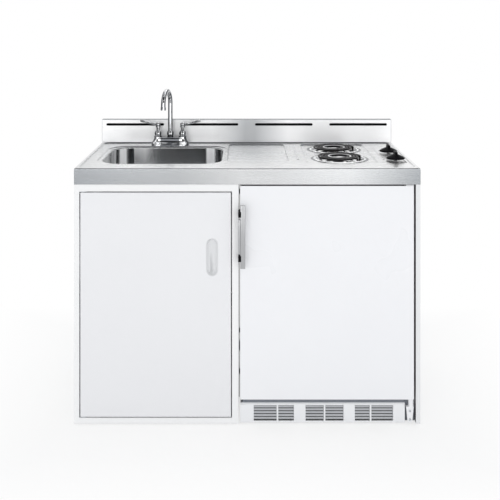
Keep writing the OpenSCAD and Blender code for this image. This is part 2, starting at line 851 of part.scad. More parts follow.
// ---------------------------------------------------------------- hob

// Puts its children at a burner's middle, on the burner tray: place 0 is the front one
module at_burner(place) {
  translate([burner_x, burner_y - (1 - place) * burner_spacing, burner_z]) children();
}

// Sheet box under the hob, with the ears and pins that carry the coils' receptacles
module hob_box() {
  ear_t = 2;
  ear_gap = 0.5;
  ear_y = receptacle_w / 2 + ear_gap;
  color("darkgray") {
    difference() {
      block([hob_x0, hob_y0, hob_z0], [hob_x1, hob_y1, deck_z - sheet_t]);
      block([hob_x0 + panel_t, hob_y0 + panel_t, hob_z0 + panel_t],
            [hob_x1 - panel_t, hob_y1 - panel_t, deck_z + cut]);
    }
    for (place = [0, 1], side = [-1, 1]) at_burner(place) {
      low = coil_low_z - burner_z;
      along_y(side > 0 ? ear_y : -ear_y - ear_t, side > 0 ? ear_y + ear_t : -ear_y)
        translate([receptacle_x, low]) {
          circle(6);
          translate([-6, hob_z0 + panel_t - coil_low_z]) square([12, coil_low_z - hob_z0 - panel_t]);
        }
      rod([receptacle_x, side * (ear_y + 1), low],
          [receptacle_x, side * (receptacle_w / 2 - 4), low], receptacle_pin_r);
    }
  }
}

// Pressed drip bowls, each with a notch where its coil's legs come out
module drip_bowls() {
  hole = burner_hole_r;
  rim = drip_bowl_r;
  low = drip_bowl_h;
  floor_r = 70;
  drain_r = 26;
  t = 1;
  color("silver") for (place = [0, 1]) at_burner(place) difference() {
    turned() polygon([
      [drain_r, -low], [floor_r, -low], [hole - 3.5, -5], [hole - 1.5, 1.8], [hole + 1, 3],
      [rim - 2, 3], [rim, 1.5], [rim, 0], [rim - t, 0], [rim - t, 1.2], [rim - 2.4, 3 - t],
      [hole + 1.4, 3 - t], [hole - 0.5, 1.2], [hole - 2.5, -5.4], [floor_r + 0.6, -low - t],
      [drain_r, -low - t]]);
    block([floor_r - 12, -receptacle_w / 2, coil_low_z - burner_z - 8],
          [rim - 5, receptacle_w / 2, coil_low_z - burner_z + 9.5]);
  }
}

// Heating coil: half turns about two centres, and two legs that plug in at the right
module coil_element(place) {
  leg_r = coil_tube_r - 0.3;
  leg_y = 12;
  turn = asin(leg_y / coil_r);
  top = coil_z - burner_z;
  low = coil_low_z - burner_z;
  tip = receptacle_x - receptacle_l / 2 + 14;
  inner = (coil_r - coil_turns * coil_pitch) * [cos(turn), sin(turn)];
  outer = coil_r * [cos(turn), sin(turn)];
  knee = [60, -leg_y];
  color("dimgray") at_burner(place) {
    rotate(turn) translate([0, 0, top]) for (i = [0:2 * coil_turns - 1])
      translate([i % 2 == 1 ? -coil_pitch / 2 : 0, 0, 0]) rotate(i % 2 == 1 ? 180 : 0)
        rotate_extrude(angle = 180) translate([coil_r - i * coil_pitch / 2, 0]) intersection() {
          circle(coil_tube_r);
          translate([-coil_tube_r, -coil_tube_r])
            square([2 * coil_tube_r, 2 * coil_tube_r - coil_flat]);
        }
    rod([outer[0], outer[1], top], [outer[0], outer[1], low], leg_r);
    rod([outer[0], outer[1], low], [tip, leg_y, low], leg_r);
    rod([inner[0], inner[1], top], [inner[0], inner[1], low], leg_r);
    rod([inner[0], inner[1], low], [knee[0], knee[1], low], leg_r);
    rod([knee[0], knee[1], low], [tip, -leg_y, low], leg_r);
    for (joint = [[outer[0], outer[1], low], [inner[0], inner[1], low], [knee[0], knee[1], low]])
      translate(joint) sphere(coil_tube_r);
  }
}

// Three-armed support with a round cap in the coil's middle
module coil_support(place) {
  rim_top = 3;
  arm_t = 2;
  arm_top = coil_z - burner_z - coil_tube_r - seat_gap;
  hub_r = 15;
  color("silver") at_burner(place) {
    for (a = [60, 180, 300]) rotate(a) along_y(-arm_t / 2, arm_t / 2)
      polygon([[hub_r - 2, -3], [84, -3], [burner_hole_r - 4, rim_top + 0.2],
               [drip_bowl_r - 3, rim_top + 0.2], [drip_bowl_r - 3, arm_top], [hub_r - 2, arm_top]]);
    post(0, 0, -3, arm_top, hub_r);
    translate([0, 0, arm_top]) turned() {
      square([23, 1.5]);
      intersection() {
        translate([0, -56.5]) circle(60);
        translate([0, 1]) square([20, 6]);
      }
    }
  }
}

module receptacle(place) {
  low = coil_low_z - burner_z;
  l = receptacle_l / 2;
  w = receptacle_w / 2;
  h = receptacle_h / 2;
  color("ivory") at_burner(place) translate([receptacle_x, 0, low]) difference() {
    block([-l, -w, -h], [l, w, h]);
    for (side = [-1, 1]) {
      rod([-l - cut, side * 12, 0], [15 - l, side * 12, 0], coil_tube_r);
      rod([0, side * (w + cut), 0], [0, side * (w - 5), 0], receptacle_pin_r + running);
      block([l - 4, side * 12 - 3, -h + 4], [l + cut, side * 12 + 3, h - 4]);
    }
  }
}

module coil_front() { coil_element(0); }
module coil_rear() { coil_element(1); }
module coil_support_front() { coil_support(0); }
module coil_support_rear() { coil_support(1); }
module receptacle_front() { receptacle(0); }
module receptacle_rear() { receptacle(1); }

// Puts its children at a knob's axis: place 0 is the front one
module at_knob(place) {
  translate([knob_x, knob_y - (1 - place) * knob_spacing, 0]) children();
}

// Heat regulators under the deck, each with a chamber for its push collar
module control_switches() {
  color("dimgray") for (place = [0, 1]) at_knob(place) difference() {
    union() {
      block([-switch_w / 2, -switch_w / 2, switch_top - switch_h],
            [switch_w / 2, switch_w / 2, switch_top]);
      post(0, 0, switch_top, knob_z + 1, switch_neck_r);
    }
    post(0, 0, chamber_top - chamber_h, chamber_top, chamber_r);
    post(0, 0, chamber_top - cut, knob_z + 1 + cut, shaft_r + running);
  }
}

module push_collar(place) {
  color("ivory") at_knob(place) difference() {
    post(0, 0, chamber_top - seat_gap - collar_h, chamber_top - seat_gap, chamber_r - 0.2);
    post(0, 0, chamber_top - collar_h - cut, chamber_top, shaft_r + running);
    post(0, 0, chamber_top - seat_gap - 2, chamber_top, shaft_r + 2.2);
  }
}

module control_shaft(place) {
  color("lightgray") at_knob(place) {
    post(0, 0, chamber_top - collar_h - 3, skirt_z + shaft_in_knob, shaft_r);
    post(0, 0, chamber_top - seat_gap - 1.9, chamber_top - seat_gap - 0.2, shaft_r + 2);
  }
}

module knob(place) {
  skirt_h = 6;
  grip_l = 2 * knob_r - 6;
  grip_top = skirt_h + knob_grip_h;
  color("black") at_knob(place) translate([0, 0, skirt_z]) difference() {
    union() {
      turned() polygon([[0, 0], [knob_r - 1, 0], [knob_r, 1], [knob_r, 2.5], [knob_r - 7, 5],
                        [14, skirt_h], [0, skirt_h]]);
      intersection() {
        along_y(-grip_l / 2, grip_l / 2)
          rolled_section(-knob_grip_w / 2, knob_grip_w / 2, 1, grip_top, 4, true);
        along_x(-knob_grip_w, knob_grip_w)
          polygon([[-grip_l / 2, 1], [grip_l / 2, 1], [grip_l / 2, 4],
                   [grip_l / 2 - 7, grip_top + cut], [7 - grip_l / 2, grip_top + cut],
                   [-grip_l / 2, 4]]);
      }
    }
    post(0, 0, -cut, shaft_in_knob + seat_gap, shaft_r + 0.05);
  }
}

module push_collar_front() { push_collar(0); }
module push_collar_rear() { push_collar(1); }
module control_shaft_front() { control_shaft(0); }
module control_shaft_rear() { control_shaft(1); }
module knob_front() { knob(0); }
module knob_rear() { knob(1); }

// ---------------------------------------------------------------- sink cabinet

// Side sheet with turned flanges at its top and bottom, from x = 0 inwards
module cabinet_side_section() {
  translate([0, foot_h]) square([panel_t, cab_top - foot_h]);
  translate([0, foot_h]) square([side_flange_w, panel_t]);
  translate([0, cab_top - panel_t]) square([side_flange_w, panel_t]);
}

module cabinet_left_side() {
  color("white") translate([left_x, 0, 0]) along_y(face_y + frame_d, back_y)
    cabinet_side_section();
}

module cabinet_right_side() {
  color("white") translate([cab_x1, 0, 0]) mirror([1, 0, 0]) along_y(face_y + frame_d, back_y)
    cabinet_side_section();
}

// Floor pan, on the side sheets' bottom flanges
module cabinet_floor() {
  low = foot_h + panel_t;
  upturn = 15;
  color("white") along_x(left_x + panel_t, cab_x1 - panel_t) {
    translate([face_y + frame_d, low]) square([back_y - panel_t - face_y - frame_d, panel_t]);
    translate([face_y + frame_d, low]) square([panel_t, upturn]);
    translate([back_y - 2 * panel_t, low]) square([panel_t, upturn]);
  }
}

// Back sheet with the opening for the pipes
module cabinet_back() {
  color("white") along_y(back_y - panel_t, back_y) difference() {
    translate([left_x + panel_t, foot_h + panel_t])
      square([cabinet_w - 2 * panel_t, cab_top - foot_h - 2 * panel_t]);
    translate([bowl_cx, pipe_opening_z]) rounded_plan(pipe_opening_w, pipe_opening_h, 20);
  }
}

// Folded frame round the door: its front and its inner and outer returns
module face_frame() {
  module opening(grow) {
    translate([left_x + stile_left_w - grow, foot_h + rail_bottom_h - grow])
      square([cabinet_w - stile_left_w - stile_right_w + 2 * grow,
              cab_top - foot_h - rail_bottom_h - rail_top_h + 2 * grow]);
  }
  color("white") difference() {
    along_y(face_y, face_y + frame_d) difference() {
      translate([left_x, foot_h]) square([cabinet_w, cab_top - foot_h]);
      opening(0);
    }
    along_y(face_y + panel_t, face_y + frame_d + cut) difference() {
      translate([left_x + panel_t, foot_h + panel_t])
        square([cabinet_w - 2 * panel_t, cab_top - foot_h - 2 * panel_t]);
      opening(panel_t);
    }
  }
}

// Door pan with the cut-out for its pull and the holes for its pivots
module cabinet_door() {
  color("whitesmoke") difference() {
    block([door_x0, face_y, door_z0], [door_x1, face_y + door_t, door_z1]);
    block([door_x0 + panel_t, face_y + panel_t, door_z0 + panel_t],
          [door_x1 - panel_t, face_y + door_t + cut, door_z1 - panel_t]);
    along_y(face_y - cut, face_y + panel_t + cut) translate([pull_x, pull_z]) rotate(90)
      obround(pull_h, pull_w);
    post(door_pin_x, door_pin_y, door_z0 - cut, door_z0 + 20, door_pin_r + running);
    post(door_pin_x, door_pin_y, door_z1 - 20, door_z1 + cut, door_pin_r + running);
  }
}

// Inner pan that closes the door's back, with a pressed field
module cabinet_door_liner() {
  w = door_x1 - door_x0 - 2 * panel_t;
  h = door_z1 - door_z0 - 2 * panel_t;
  field_w = w - 2 * door_field_in;
  field_h = h - 2 * door_field_in;
  color("white") translate([(door_x0 + door_x1) / 2, face_y + door_t, (door_z0 + door_z1) / 2])
    rotate([-90, 0, 0]) {
      translate([0, 0, -sheet_t]) linear_extrude(sheet_t) difference() {
        square([w, h], center = true);
        tray_mouth(field_w, field_h, tray_r, door_field_drop);
      }
      tray_step(field_w, field_h, tray_r, door_field_drop);
      translate([0, 0, -door_field_drop]) rounded_plate(field_w, field_h, tray_r, sheet_t);
    }
}

// Recessed pull: a cup with sloping walls, flush with the door's face
module door_pull() {
  slope = 7;
  wall = pull_wall;
  r = pull_w / 2;
  run = pull_h - pull_w;
  color("lightgray") translate([pull_x, face_y, pull_z]) rotate([90, 90, 0]) difference() {
    translate([0, 0, -pull_cup_d - wall]) linear_extrude(pull_cup_d + wall) obround(pull_h, pull_w);
    along_x(-run / 2, run / 2)
      polygon([[slope + wall - r, -pull_cup_d], [r - slope - wall, -pull_cup_d], [r - wall, cut],
               [wall - r, cut]]);
    for (end = [0, 1]) rotate(180 * end) translate([run / 2, 0, 0]) rotate(-90)
      rotate_extrude(angle = 180)
        polygon([[0, -pull_cup_d], [r - slope - wall, -pull_cup_d], [r - wall, cut], [0, cut]]);
  }
}

// Pivot brackets on the frame's rails, with their pins in the door
module door_pivots() {
  plate_t = 2;
  plate_w = 26;
  color("silver") for (top = [0, 1]) {
    rail = top == 1 ? cab_top - rail_top_h : foot_h + rail_bottom_h;
    way = top == 1 ? -1 : 1;
    translate([0, 0, rail]) mirror([0, 0, top]) {
      block([left_x + stile_left_w, face_y + 2, 0],
            [left_x + stile_left_w + plate_w, face_y + frame_d - 2, plate_t]);
      post(door_pin_x, door_pin_y, plate_t - eps, door_gap - 0.2, door_pin_r + 2);
      post(door_pin_x, door_pin_y, plate_t, door_gap + panel_t + 8, door_pin_r);
    }
  }
}

module magnetic_catch() {
  stile = cab_x1 - stile_right_w;
  color("dimgray") {
    block([stile - 26, face_y + frame_d, catch_z - 20],
          [stile + 12, face_y + frame_d + 10, catch_z + 20]);
    block([stile - 26, face_y + door_t + seat_gap, catch_z - 14],
          [stile - 6, face_y + frame_d + eps, catch_z + 14]);
  }
}

module levelling_foot(x, y, top, r) {
  pad_h = 0.75 * foot_h;
  post(x, y, 0, pad_h, r);
  post(x, y, pad_h - eps, top, r * 0.45);
}

module levelling_feet() {
  front = face_y + foot_in;
  back = back_y - foot_in;
  color("gray") for (y = [front, back]) {
    levelling_foot(left_x + side_flange_w / 2 + 3, y, foot_h, foot_r);
    levelling_foot(cab_x1 - side_flange_w / 2 - 3, y, foot_h, foot_r);
    levelling_foot((end_x0 + right_x) / 2, y, foot_h, end_panel_w / 2 - 1);
  }
  color("gray") for (x = [case_x0 + foot_in, case_x1 - foot_in], y = [case_y0 + 22, case_y1 - 30])
    levelling_foot(x, y, skirt_low, foot_r);
}

// Folded end panel, open towards the refrigerator
module end_panel() {
  color("white") difference() {
    block([end_x0, face_y, foot_h], [right_x, back_y, cab_top]);
    block([end_x0 - cut, face_y + panel_t, foot_h + panel_t],
          [right_x - panel_t, back_y - panel_t, cab_top - panel_t]);
  }
}

// Two channels that tie the end panel to the cabinet behind the refrigerator
module rear_rails() {
  color("white") for (z = [foot_h + 20, cab_top - rail_w]) along_x(cab_x1, end_x0) {
    translate([back_y - panel_t, z]) square([panel_t, rail_w]);
    translate([back_y - rail_flange, z]) square([rail_flange, panel_t]);
    translate([back_y - rail_flange, z + rail_w - panel_t]) square([rail_flange, panel_t]);
  }
}

// ---------------------------------------------------------------- refrigerator

// Outline of the insulated chest in Y and Z, with the step over the compressor
module chest_outline(inset, front) {
  polygon([[front, case_z0 + inset], [machine_y - inset, case_z0 + inset],
           [machine_y - inset, machine_z + inset], [case_y1 - inset, machine_z + inset],
           [case_y1 - inset, case_z1 - inset], [front, case_z1 - inset]]);
}

module chest(inset, front) {
  along_x(case_x0 + inset, case_x1 - inset) chest_outline(inset, front);
}

// Outer case with its side skirts, base pan and front cross rail
module fridge_case() {
  color("whitesmoke") {
    difference() {
      chest(0, case_y0);
      chest(case_t, case_y0 - cut);
    }
    for (x = [case_x0, case_x1 - case_t])
      block([x, case_y0, skirt_low], [x + case_t, case_y1, machine_z + 1]);
    block([case_x0, case_y0, skirt_low], [case_x1, case_y1, skirt_low + case_t]);
    block([case_x0, case_y0, case_z0 - 18], [case_x1, case_y0 + case_t, case_z0 + 1]);
  }
}

// Spacers on the screws that tie the refrigerator to the cabinet's side
module tie_spacers() {
  color("dimgray") for (y = [case_y0 + 60, case_y1 - 60], z = [case_z0 + 60, case_z1 - 40])
    translate([cab_x1, y, z]) rotate([0, 90, 0]) cylinder(h = case_x0 - cab_x1, r = 9);
}

module fridge_insulation() {
  color("khaki") difference() {
    chest(case_t, case_y0 + liner_t);
    chest(fridge_wall, case_y0 - cut);
  }
}

// Plastic liner with its front flange and the ledges for the shelves
module fridge_liner() {
  color("white") {
    difference() {
      chest(fridge_wall, case_y0);
      chest(fridge_wall + liner_t, case_y0 - cut);
    }
    along_y(case_y0, case_y0 + liner_t) difference() {
      translate([case_x0 + case_t, case_z0 + case_t])
        square([case_x1 - case_x0 - 2 * case_t, case_z1 - case_z0 - 2 * case_t]);
      translate([case_x0 + fridge_wall + eps, case_z0 + fridge_wall + eps])
        square([case_x1 - case_x0 - 2 * (fridge_wall + eps),
                case_z1 - case_z0 - 2 * (fridge_wall + eps)]);
    }
    for (z = shelf_levels, x = [inner_x0 - eps, inner_x1 - ledge_w])
      block([x, shelf_y0, z - ledge_h], [x + ledge_w + eps, inner_y1, z]);
  }
}

// Glass shelves in moulded rims, on the liner's ledges
module fridge_shelves() {
  side_gap = 2;
  rim = 14;
  front_rim = 18;
  color("lightcyan") for (z = shelf_levels) difference() {
    block([inner_x0 + side_gap, shelf_y0, z], [inner_x1 - side_gap, inner_y1 - side_gap, z + shelf_t]);
    block([inner_x0 + side_gap + rim, shelf_y0 + front_rim, z + shelf_t - 2],
          [inner_x1 - side_gap - rim, inner_y1 - side_gap - rim, z + shelf_t + cut]);
  }
}

module crisper() {
  x0 = inner_x0 + 10;
  x1 = inner_x1 - 10;
  y0 = shelf_y0 + 6;
  y1 = hump_y - 4;
  top = shelf_levels[0] - ledge_h - 3;
  wall = 2.5;
  finger_w = 150;
  finger_h = 36;
  color("lightcyan") difference() {
    block([x0, y0, inner_z0], [x1, y1, top]);
    block([x0 + wall, y0 + wall, inner_z0 + wall], [x1 - wall, y1 - wall, top + cut]);
    along_y(y0 - cut, y0 + wall + cut) translate([(x0 + x1) / 2, top])
      obround(finger_w, finger_h);
  }
}

// Freezing compartment: a folded aluminium wrap, closed at the back, hung from the ceiling
module evaporator() {
  t = 1.5;
  ear = 4;
  color("silver") {
    difference() {
      block([ev_x0, ev_y0, ev_z0], [ev_x1, ev_y1, ev_z1]);
      block([ev_x0 + t, ev_y0 - cut, ev_z0 + t], [ev_x1 - t, ev_y1 - t, ev_z1 - t]);
    }
    for (x = [ev_x0 + 20, ev_x1 - 40], y = [ev_y0 + 15, ev_y1 - 35])
      block([x, y, ev_z1 - eps], [x + 20, y + 20, inner_z1]);
    for (side = [0, 1]) translate([side == 0 ? ev_x0 : ev_x1, 0, 0]) mirror([side, 0, 0]) {
      block([0, flap_y - 6, flap_z - 5], [ear, ev_y0 + 4, ev_z1]);
      rod([ear - 1, flap_y, flap_z], [ear + 8, flap_y, flap_z], flap_pin_r);
    }
  }
}

// Flap of the freezing compartment, hung from its top edge
module freezer_flap() {
  x0 = ev_x0 + 4.5;
  x1 = ev_x1 - 4.5;
  mid = (x0 + x1) / 2;
  lip_w = 90;
  color("white") difference() {
    union() {
      rod([x0, flap_y, flap_z], [x1, flap_y, flap_z], 4);
      block([x0, flap_y - 2, ev_z0 + 1], [x1, flap_y + 2, flap_z]);
      block([mid - lip_w / 2, flap_y - 8, ev_z0 + 1], [mid + lip_w / 2, flap_y, ev_z0 + 4]);
    }
    for (x = [x0 - cut, x1 - 9]) rod([x, flap_y, flap_z], [x + 9 + cut, flap_y, flap_z],
                                     flap_pin_r + running);
  }
}

module thermostat_box() {
  color("white") difference() {
    block([ev_x1 + 14, dial_y, dial_z - 28], [inner_x1, dial_y + 70, inner_z1]);
    rod([dial_x, dial_y - cut, dial_z], [dial_x, dial_y + 16, dial_z], dial_shaft_r + running);
  }
}

module thermostat_dial() {
  color("white") {
    difference() {
      rod([dial_x, dial_y - seat_gap, dial_z], [dial_x, dial_y - 11, dial_z], dial_r);
      for (i = [0:11]) rotate_about([dial_x, 0, dial_z], i * 30)
        rod([dial_x + dial_r + 1.2, dial_y, dial_z], [dial_x + dial_r + 1.2, dial_y - 12, dial_z], 2.4);
    }
    rod([dial_x, dial_y - 1, dial_z], [dial_x, dial_y + 15, dial_z], dial_shaft_r);
  }
}

// Turns its children about an axis along Y through a point
module rotate_about(p, a) {
  translate(p) rotate([0, a, 0]) translate(-p) children();
}

// Welded compressor pot on its foot plate and four grommets
module compressor() {
  pot_r = 68;
  pot_h = 150;
  shoulder = 28;
  plate_z = skirt_low + case_t;
  color("dimgray") translate([compressor_x, compressor_y, plate_z]) {
    for (x = [-62, 62], y = [-62, 62]) {
      post(x, y, 0, 16, 10);
      post(x, y, 16, 24, 5);
    }
    translate([0, 0, 16]) linear_extrude(3) rounded_plan(150, 150, 14);
    translate([0, 0, 18]) turned() {
      translate([0, shoulder]) square([pot_r, pot_h - 2 * shoulder]);
      square([pot_r - shoulder, pot_h]);
      for (z = [shoulder, pot_h - shoulder]) translate([pot_r - shoulder, z]) circle(shoulder);
      translate([0, pot_h * 0.45]) square([pot_r + 3, 5]);
    }
    block([-pot_r - 22, -22, 60], [6 - pot_r, 22, 120]);
    rod([0, pot_r - 8, 130], [0, condenser_y - compressor_y, 130], 3);
    post(0, condenser_y - compressor_y, 130 - 3, machine_z + 30 - plate_z, 3);
  }
}

// Serpentine of the condenser with its row of wires and four clips
module condenser() {
  tube_r = 2.6;
  wire_r = 0.9;
  x0 = case_x0 + 55;
  x1 = case_x1 - 55;
  z0 = machine_z + 45;
  color("dimgray") {
    for (i = [0:condenser_runs - 1]) {
      z = z0 + i * condenser_pitch;
      right = i % 2 == 0;
      rod([x0, condenser_y, z], [x1, condenser_y, z], tube_r);
      if (i < condenser_runs - 1) translate([right ? x1 : x0, condenser_y, z + condenser_pitch / 2])
        rotate([90, right ? 90 : -90, 0]) rotate_extrude(angle = 180)
          translate([condenser_pitch / 2, 0]) circle(tube_r);
    }
    top = z0 + (condenser_runs - 1) * condenser_pitch;
    for (i = [0:condenser_wires - 1])
      translate([x0 + 12 + i * (x1 - x0 - 24) / (condenser_wires - 1),
                 condenser_y + tube_r + wire_r - 0.3, z0 - 12])
        cylinder(h = top - z0 + 24, r = wire_r, $fn = 6);
    for (x = [x0 + 30, x1 - 42], z = [z0, top])
      block([x, case_y1, z - 6], [x + 12, condenser_y, z + 6]);
  }
}

// Moulded grille with three groups of slanted slots, on four clips
module kick_grille() {
  clip_z = case_z0 - 12;
  color("white") {
    difference() {
      along_x(grille_x0, grille_x1)
        rolled_section(grille_y0, grille_y0 + grille_t, grille_z0, grille_z0 + grille_h, 3, false);
      for (group = slot_groups, column = [0, 1], row = [0:slot_rows - 1]) {
        x0 = grille_x0 + group[column] * (grille_x1 - grille_x0) + column * slot_divider / 2;
        x1 = grille_x0 + group[column + 1] * (grille_x1 - grille_x0)
             - (1 - column) * slot_divider / 2;
        translate([(x0 + x1) / 2, grille_y0 + grille_t / 2,
                   slot_mid + (row - (slot_rows - 1) / 2) * slot_pitch])
          rotate([slot_slant, 0, 0])
            cube([x1 - x0, 3 * grille_t, slot_h * cos(slot_slant)], center = true);
      }
      block([grille_x0 + 3, grille_y0 + 4, grille_z0 - cut],
            [grille_x1 - 3, grille_y0 + grille_t + cut, grille_z0 + grille_h - 3]);
    }
    for (i = [0:3]) translate([grille_x0 + 3 + i * (grille_x1 - grille_x0 - 18) / 3, 0, 0])
      block([0, grille_y0 + 3, clip_z], [12, case_y0, clip_z + 3]);
  }
}

// Lower bracket with its knuckle and the upper plate, each with a pin into the door
module fridge_hinges() {
  plate_t = 2.5;
  low_top = fd_z0 - hinge_knuckle_h;
  color("silver") {
    block([hinge_x - 18, fd_y0 + 2, low_top - plate_t], [hinge_x + 9, case_y0, low_top]);
    along_y(fd_y0 + 2, fd_y0 + 2 + plate_t) translate([hinge_x - 4.5, 0]) {
      polygon([[-13.5, low_top], [13.5, low_top], [9, foot_h + 12], [-9, foot_h + 12]]);
      translate([0, foot_h + 12]) circle(9);
    }
    post(hinge_x, hinge_y, low_top, fd_z0 - 0.2, hinge_in - 1);
    post(hinge_x, hinge_y, low_top, fd_z0 + 12, hinge_pin_r);
    block([hinge_x - 18, hinge_y - 9, fd_z1 + 1], [hinge_x + 9, case_y0 + 50, fd_z1 + 1 + plate_t]);
    block([hinge_x - 18, case_y0 + 4, case_z1], [hinge_x + 9, case_y0 + 50, fd_z1 + 1 + eps]);
    post(hinge_x, hinge_y, fd_z1 - 12, fd_z1 + 1 + eps, hinge_pin_r);
  }
}

// Door pan with rounded front edges, a flange turned in behind the seal and a bush for each pin
module fridge_door() {
  edge_r = 5;
  t = case_t;
  bush_h = 16;
  color("white") difference() {
    union() {
      difference() {
        translate([0, 0, fd_z0]) linear_extrude(fridge_door_h) mirror([0, 1])
          rolled_section(fd_x0, fd_x1, -fd_y1, -fd_y0, edge_r, true);
        translate([0, 0, fd_z0 + t]) linear_extrude(fridge_door_h - 2 * t) mirror([0, 1])
          rolled_section(fd_x0 + t, fd_x1 - t, t - fd_y1, -fd_y0 - t, edge_r - t, true);
        along_y(fd_y1 - t - cut, fd_y1 + cut) door_inset(gasket_in + gasket_w + 10);
      }
      for (z = [fd_z0, fd_z1 - bush_h]) post(hinge_x, hinge_y, z, z + bush_h, hinge_pin_r + 3);
    }
    post(hinge_x, hinge_y, fd_z0 - cut, fd_z0 + 13, hinge_pin_r + running);
    post(hinge_x, hinge_y, fd_z1 - 13, fd_z1 + cut, hinge_pin_r + running);
  }
}

// Rectangle set in from the refrigerator door's outline, in X and Z
module door_inset(inset) {
  translate([fd_x0 + inset, fd_z0 + inset])
    square([fd_x1 - fd_x0 - 2 * inset, fridge_door_h - 2 * inset]);
}

module fridge_door_liner() {
  color("white") {
    along_y(fd_y1, fd_y1 + liner_t) door_inset(gasket_in + gasket_w + 0.5);
    along_y(fd_y1 + liner_t - eps, fd_y1 + dyke_d) difference() {
      door_inset(dyke_in);
      door_inset(dyke_in + dyke_w);
    }
  }
}

module door_gasket() {
  color("gray") along_y(fd_y1, case_y0 - 0.2) difference() {
    door_inset(gasket_in);
    door_inset(gasket_in + gasket_w);
  }
}

// Bottle racks: troughs between the dykes
module door_racks() {
  x0 = fd_x0 + dyke_in + dyke_w;
  x1 = fd_x1 - dyke_in - dyke_w;
  wall = 2.5;
  color("lightcyan") for (rack = door_rack_list) difference() {
    block([x0, fd_y1 + liner_t, rack[0]], [x1, fd_y1 + door_rack_d, rack[0] + rack[1]]);
    block([x0 + wall, fd_y1 + liner_t + wall, rack[0] + wall],
          [x1 - wall, fd_y1 + door_rack_d - wall, rack[0] + rack[1] + cut]);
  }
}

module fridge_handle() {
  y0 = fd_y0 - handle_out;
  color("silver") translate([0, 0, handle_z1 - handle_len]) linear_extrude(handle_len)
    mirror([0, 1]) rolled_section(handle_x0, handle_x0 + handle_w, -y0 - handle_t, -y0, 3, true);
}

// Black mounts behind the handle's bar, wrapped round the door's edge
module handle_mounts() {
  reach = 3.5;
  color("black") for (down = [30.5, handle_len - 34.5]) {
    z = handle_z1 - down;
    block([fd_x0 - reach, fd_y0 - handle_out + handle_t, z - mount_h / 2],
          [fd_x0 + 7, fd_y0, z + mount_h / 2]);
    block([fd_x0 - reach, fd_y0 - 2, z - mount_h / 2], [fd_x0, fd_y0 + 14, z + mount_h / 2]);
  }
}

worktop();
backsplash();
sink_bowl();
sink_waste();
waste_locknut();
strainer_basket();
faucet_body();
faucet_shank_nuts();
spout();
aerator();
hot_lever();
cold_lever();
hob_box();
drip_bowls();
coil_front();
coil_rear();
coil_support_front();
coil_support_rear();
receptacle_front();
receptacle_rear();
control_switches();
push_collar_front();
push_collar_rear();
control_shaft_front();
control_shaft_rear();
knob_front();
knob_rear();
cabinet_left_side();
cabinet_right_side();
cabinet_floor();
cabinet_back();
face_frame();
cabinet_door();
cabinet_door_liner();
door_pull();
door_pivots();
magnetic_catch();
levelling_feet();
end_panel();
rear_rails();
fridge_case();
fridge_insulation();
fridge_liner();
fridge_shelves();
crisper();
evaporator();
freezer_flap();
thermostat_box();
thermostat_dial();
compressor();
condenser();
kick_grille();
fridge_hinges();
fridge_door();
fridge_door_liner();
door_gasket();
door_racks();
fridge_handle();
handle_mounts();
tie_spacers();
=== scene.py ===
"""Dresses the kitchenette unit: pressed steel worktop with sink and two coil burners over a sink
cabinet and a refrigerator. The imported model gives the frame; each operator makes one piece, or one
group of like pieces, and main() calls them in order."""

import json
import math

import bmesh
import bpy
from mathutils import Matrix, Vector


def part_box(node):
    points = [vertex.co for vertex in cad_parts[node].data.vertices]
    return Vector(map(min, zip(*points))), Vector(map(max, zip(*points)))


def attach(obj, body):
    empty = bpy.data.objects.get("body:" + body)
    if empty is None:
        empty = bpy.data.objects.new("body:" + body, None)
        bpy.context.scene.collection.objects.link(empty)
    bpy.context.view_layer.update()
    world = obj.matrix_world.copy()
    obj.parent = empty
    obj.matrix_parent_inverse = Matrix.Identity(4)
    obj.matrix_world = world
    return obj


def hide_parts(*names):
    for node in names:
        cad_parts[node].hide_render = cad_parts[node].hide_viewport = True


bl_info = {
    "name": "Kitchenette with sink and hob",
    "version": (1, 0, 0),
    "blender": (4, 5, 0),
    "location": "3D View > Sidebar > Kitchenette",
    "description": "Makes the finished pieces and finishes of a kitchenette unit on its packed frame",
    "category": "Add Mesh",
}

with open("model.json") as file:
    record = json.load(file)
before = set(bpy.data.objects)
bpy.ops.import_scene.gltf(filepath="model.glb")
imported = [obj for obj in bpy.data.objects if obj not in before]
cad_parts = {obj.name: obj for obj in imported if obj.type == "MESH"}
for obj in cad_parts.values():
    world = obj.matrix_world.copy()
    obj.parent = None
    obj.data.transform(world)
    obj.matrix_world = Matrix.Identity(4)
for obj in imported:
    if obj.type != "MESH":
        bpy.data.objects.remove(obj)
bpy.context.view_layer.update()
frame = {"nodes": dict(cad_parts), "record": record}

MM = 0.001
X, Y, Z = Vector((1, 0, 0)), Vector((0, 1, 0)), Vector((0, 0, 1))

# The worktop's front edge and its rim, the lowest part of its pressed deck, and the splash's fold.
FRONT_Y, RIM_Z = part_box("worktop")[0].y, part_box("worktop")[1].z
DECK_Z, FOLD_Z = 0.8925, 0.9935
# The middle of the drainboard and its half width.
DRAINER_X, DRAINER_HALF = 0.040, 0.104
# The point midway between the burners and half the step from one to the other, then the radius of
# the painted shadow ring round a drip bowl and of the coil turn that carries a painted highlight.
BURNER_X, BURNER_Y, BURNER_STEP = 0.350, 0.043, 0.1035
SHADOW_RING_RADIUS, HIGHLIGHT_RADIUS = 0.103, 0.0415
# Each vent of the kick grille: its start, its middle bar and its end, as shares of the length.
VENTS = ((0.082, 0.226, 0.326), (0.397, 0.5125, 0.6275), (0.6965, 0.792, 0.9285))
# The camera looks straight ahead; its lens and sensor are in millimetres.
LENS, SENSOR, CAMERA_X, SHIFT_X, SHIFT_Y = 60.77, 36.0, -0.0128, 0.0128, -0.4804


# ------------------------------------------------------------------ finishes


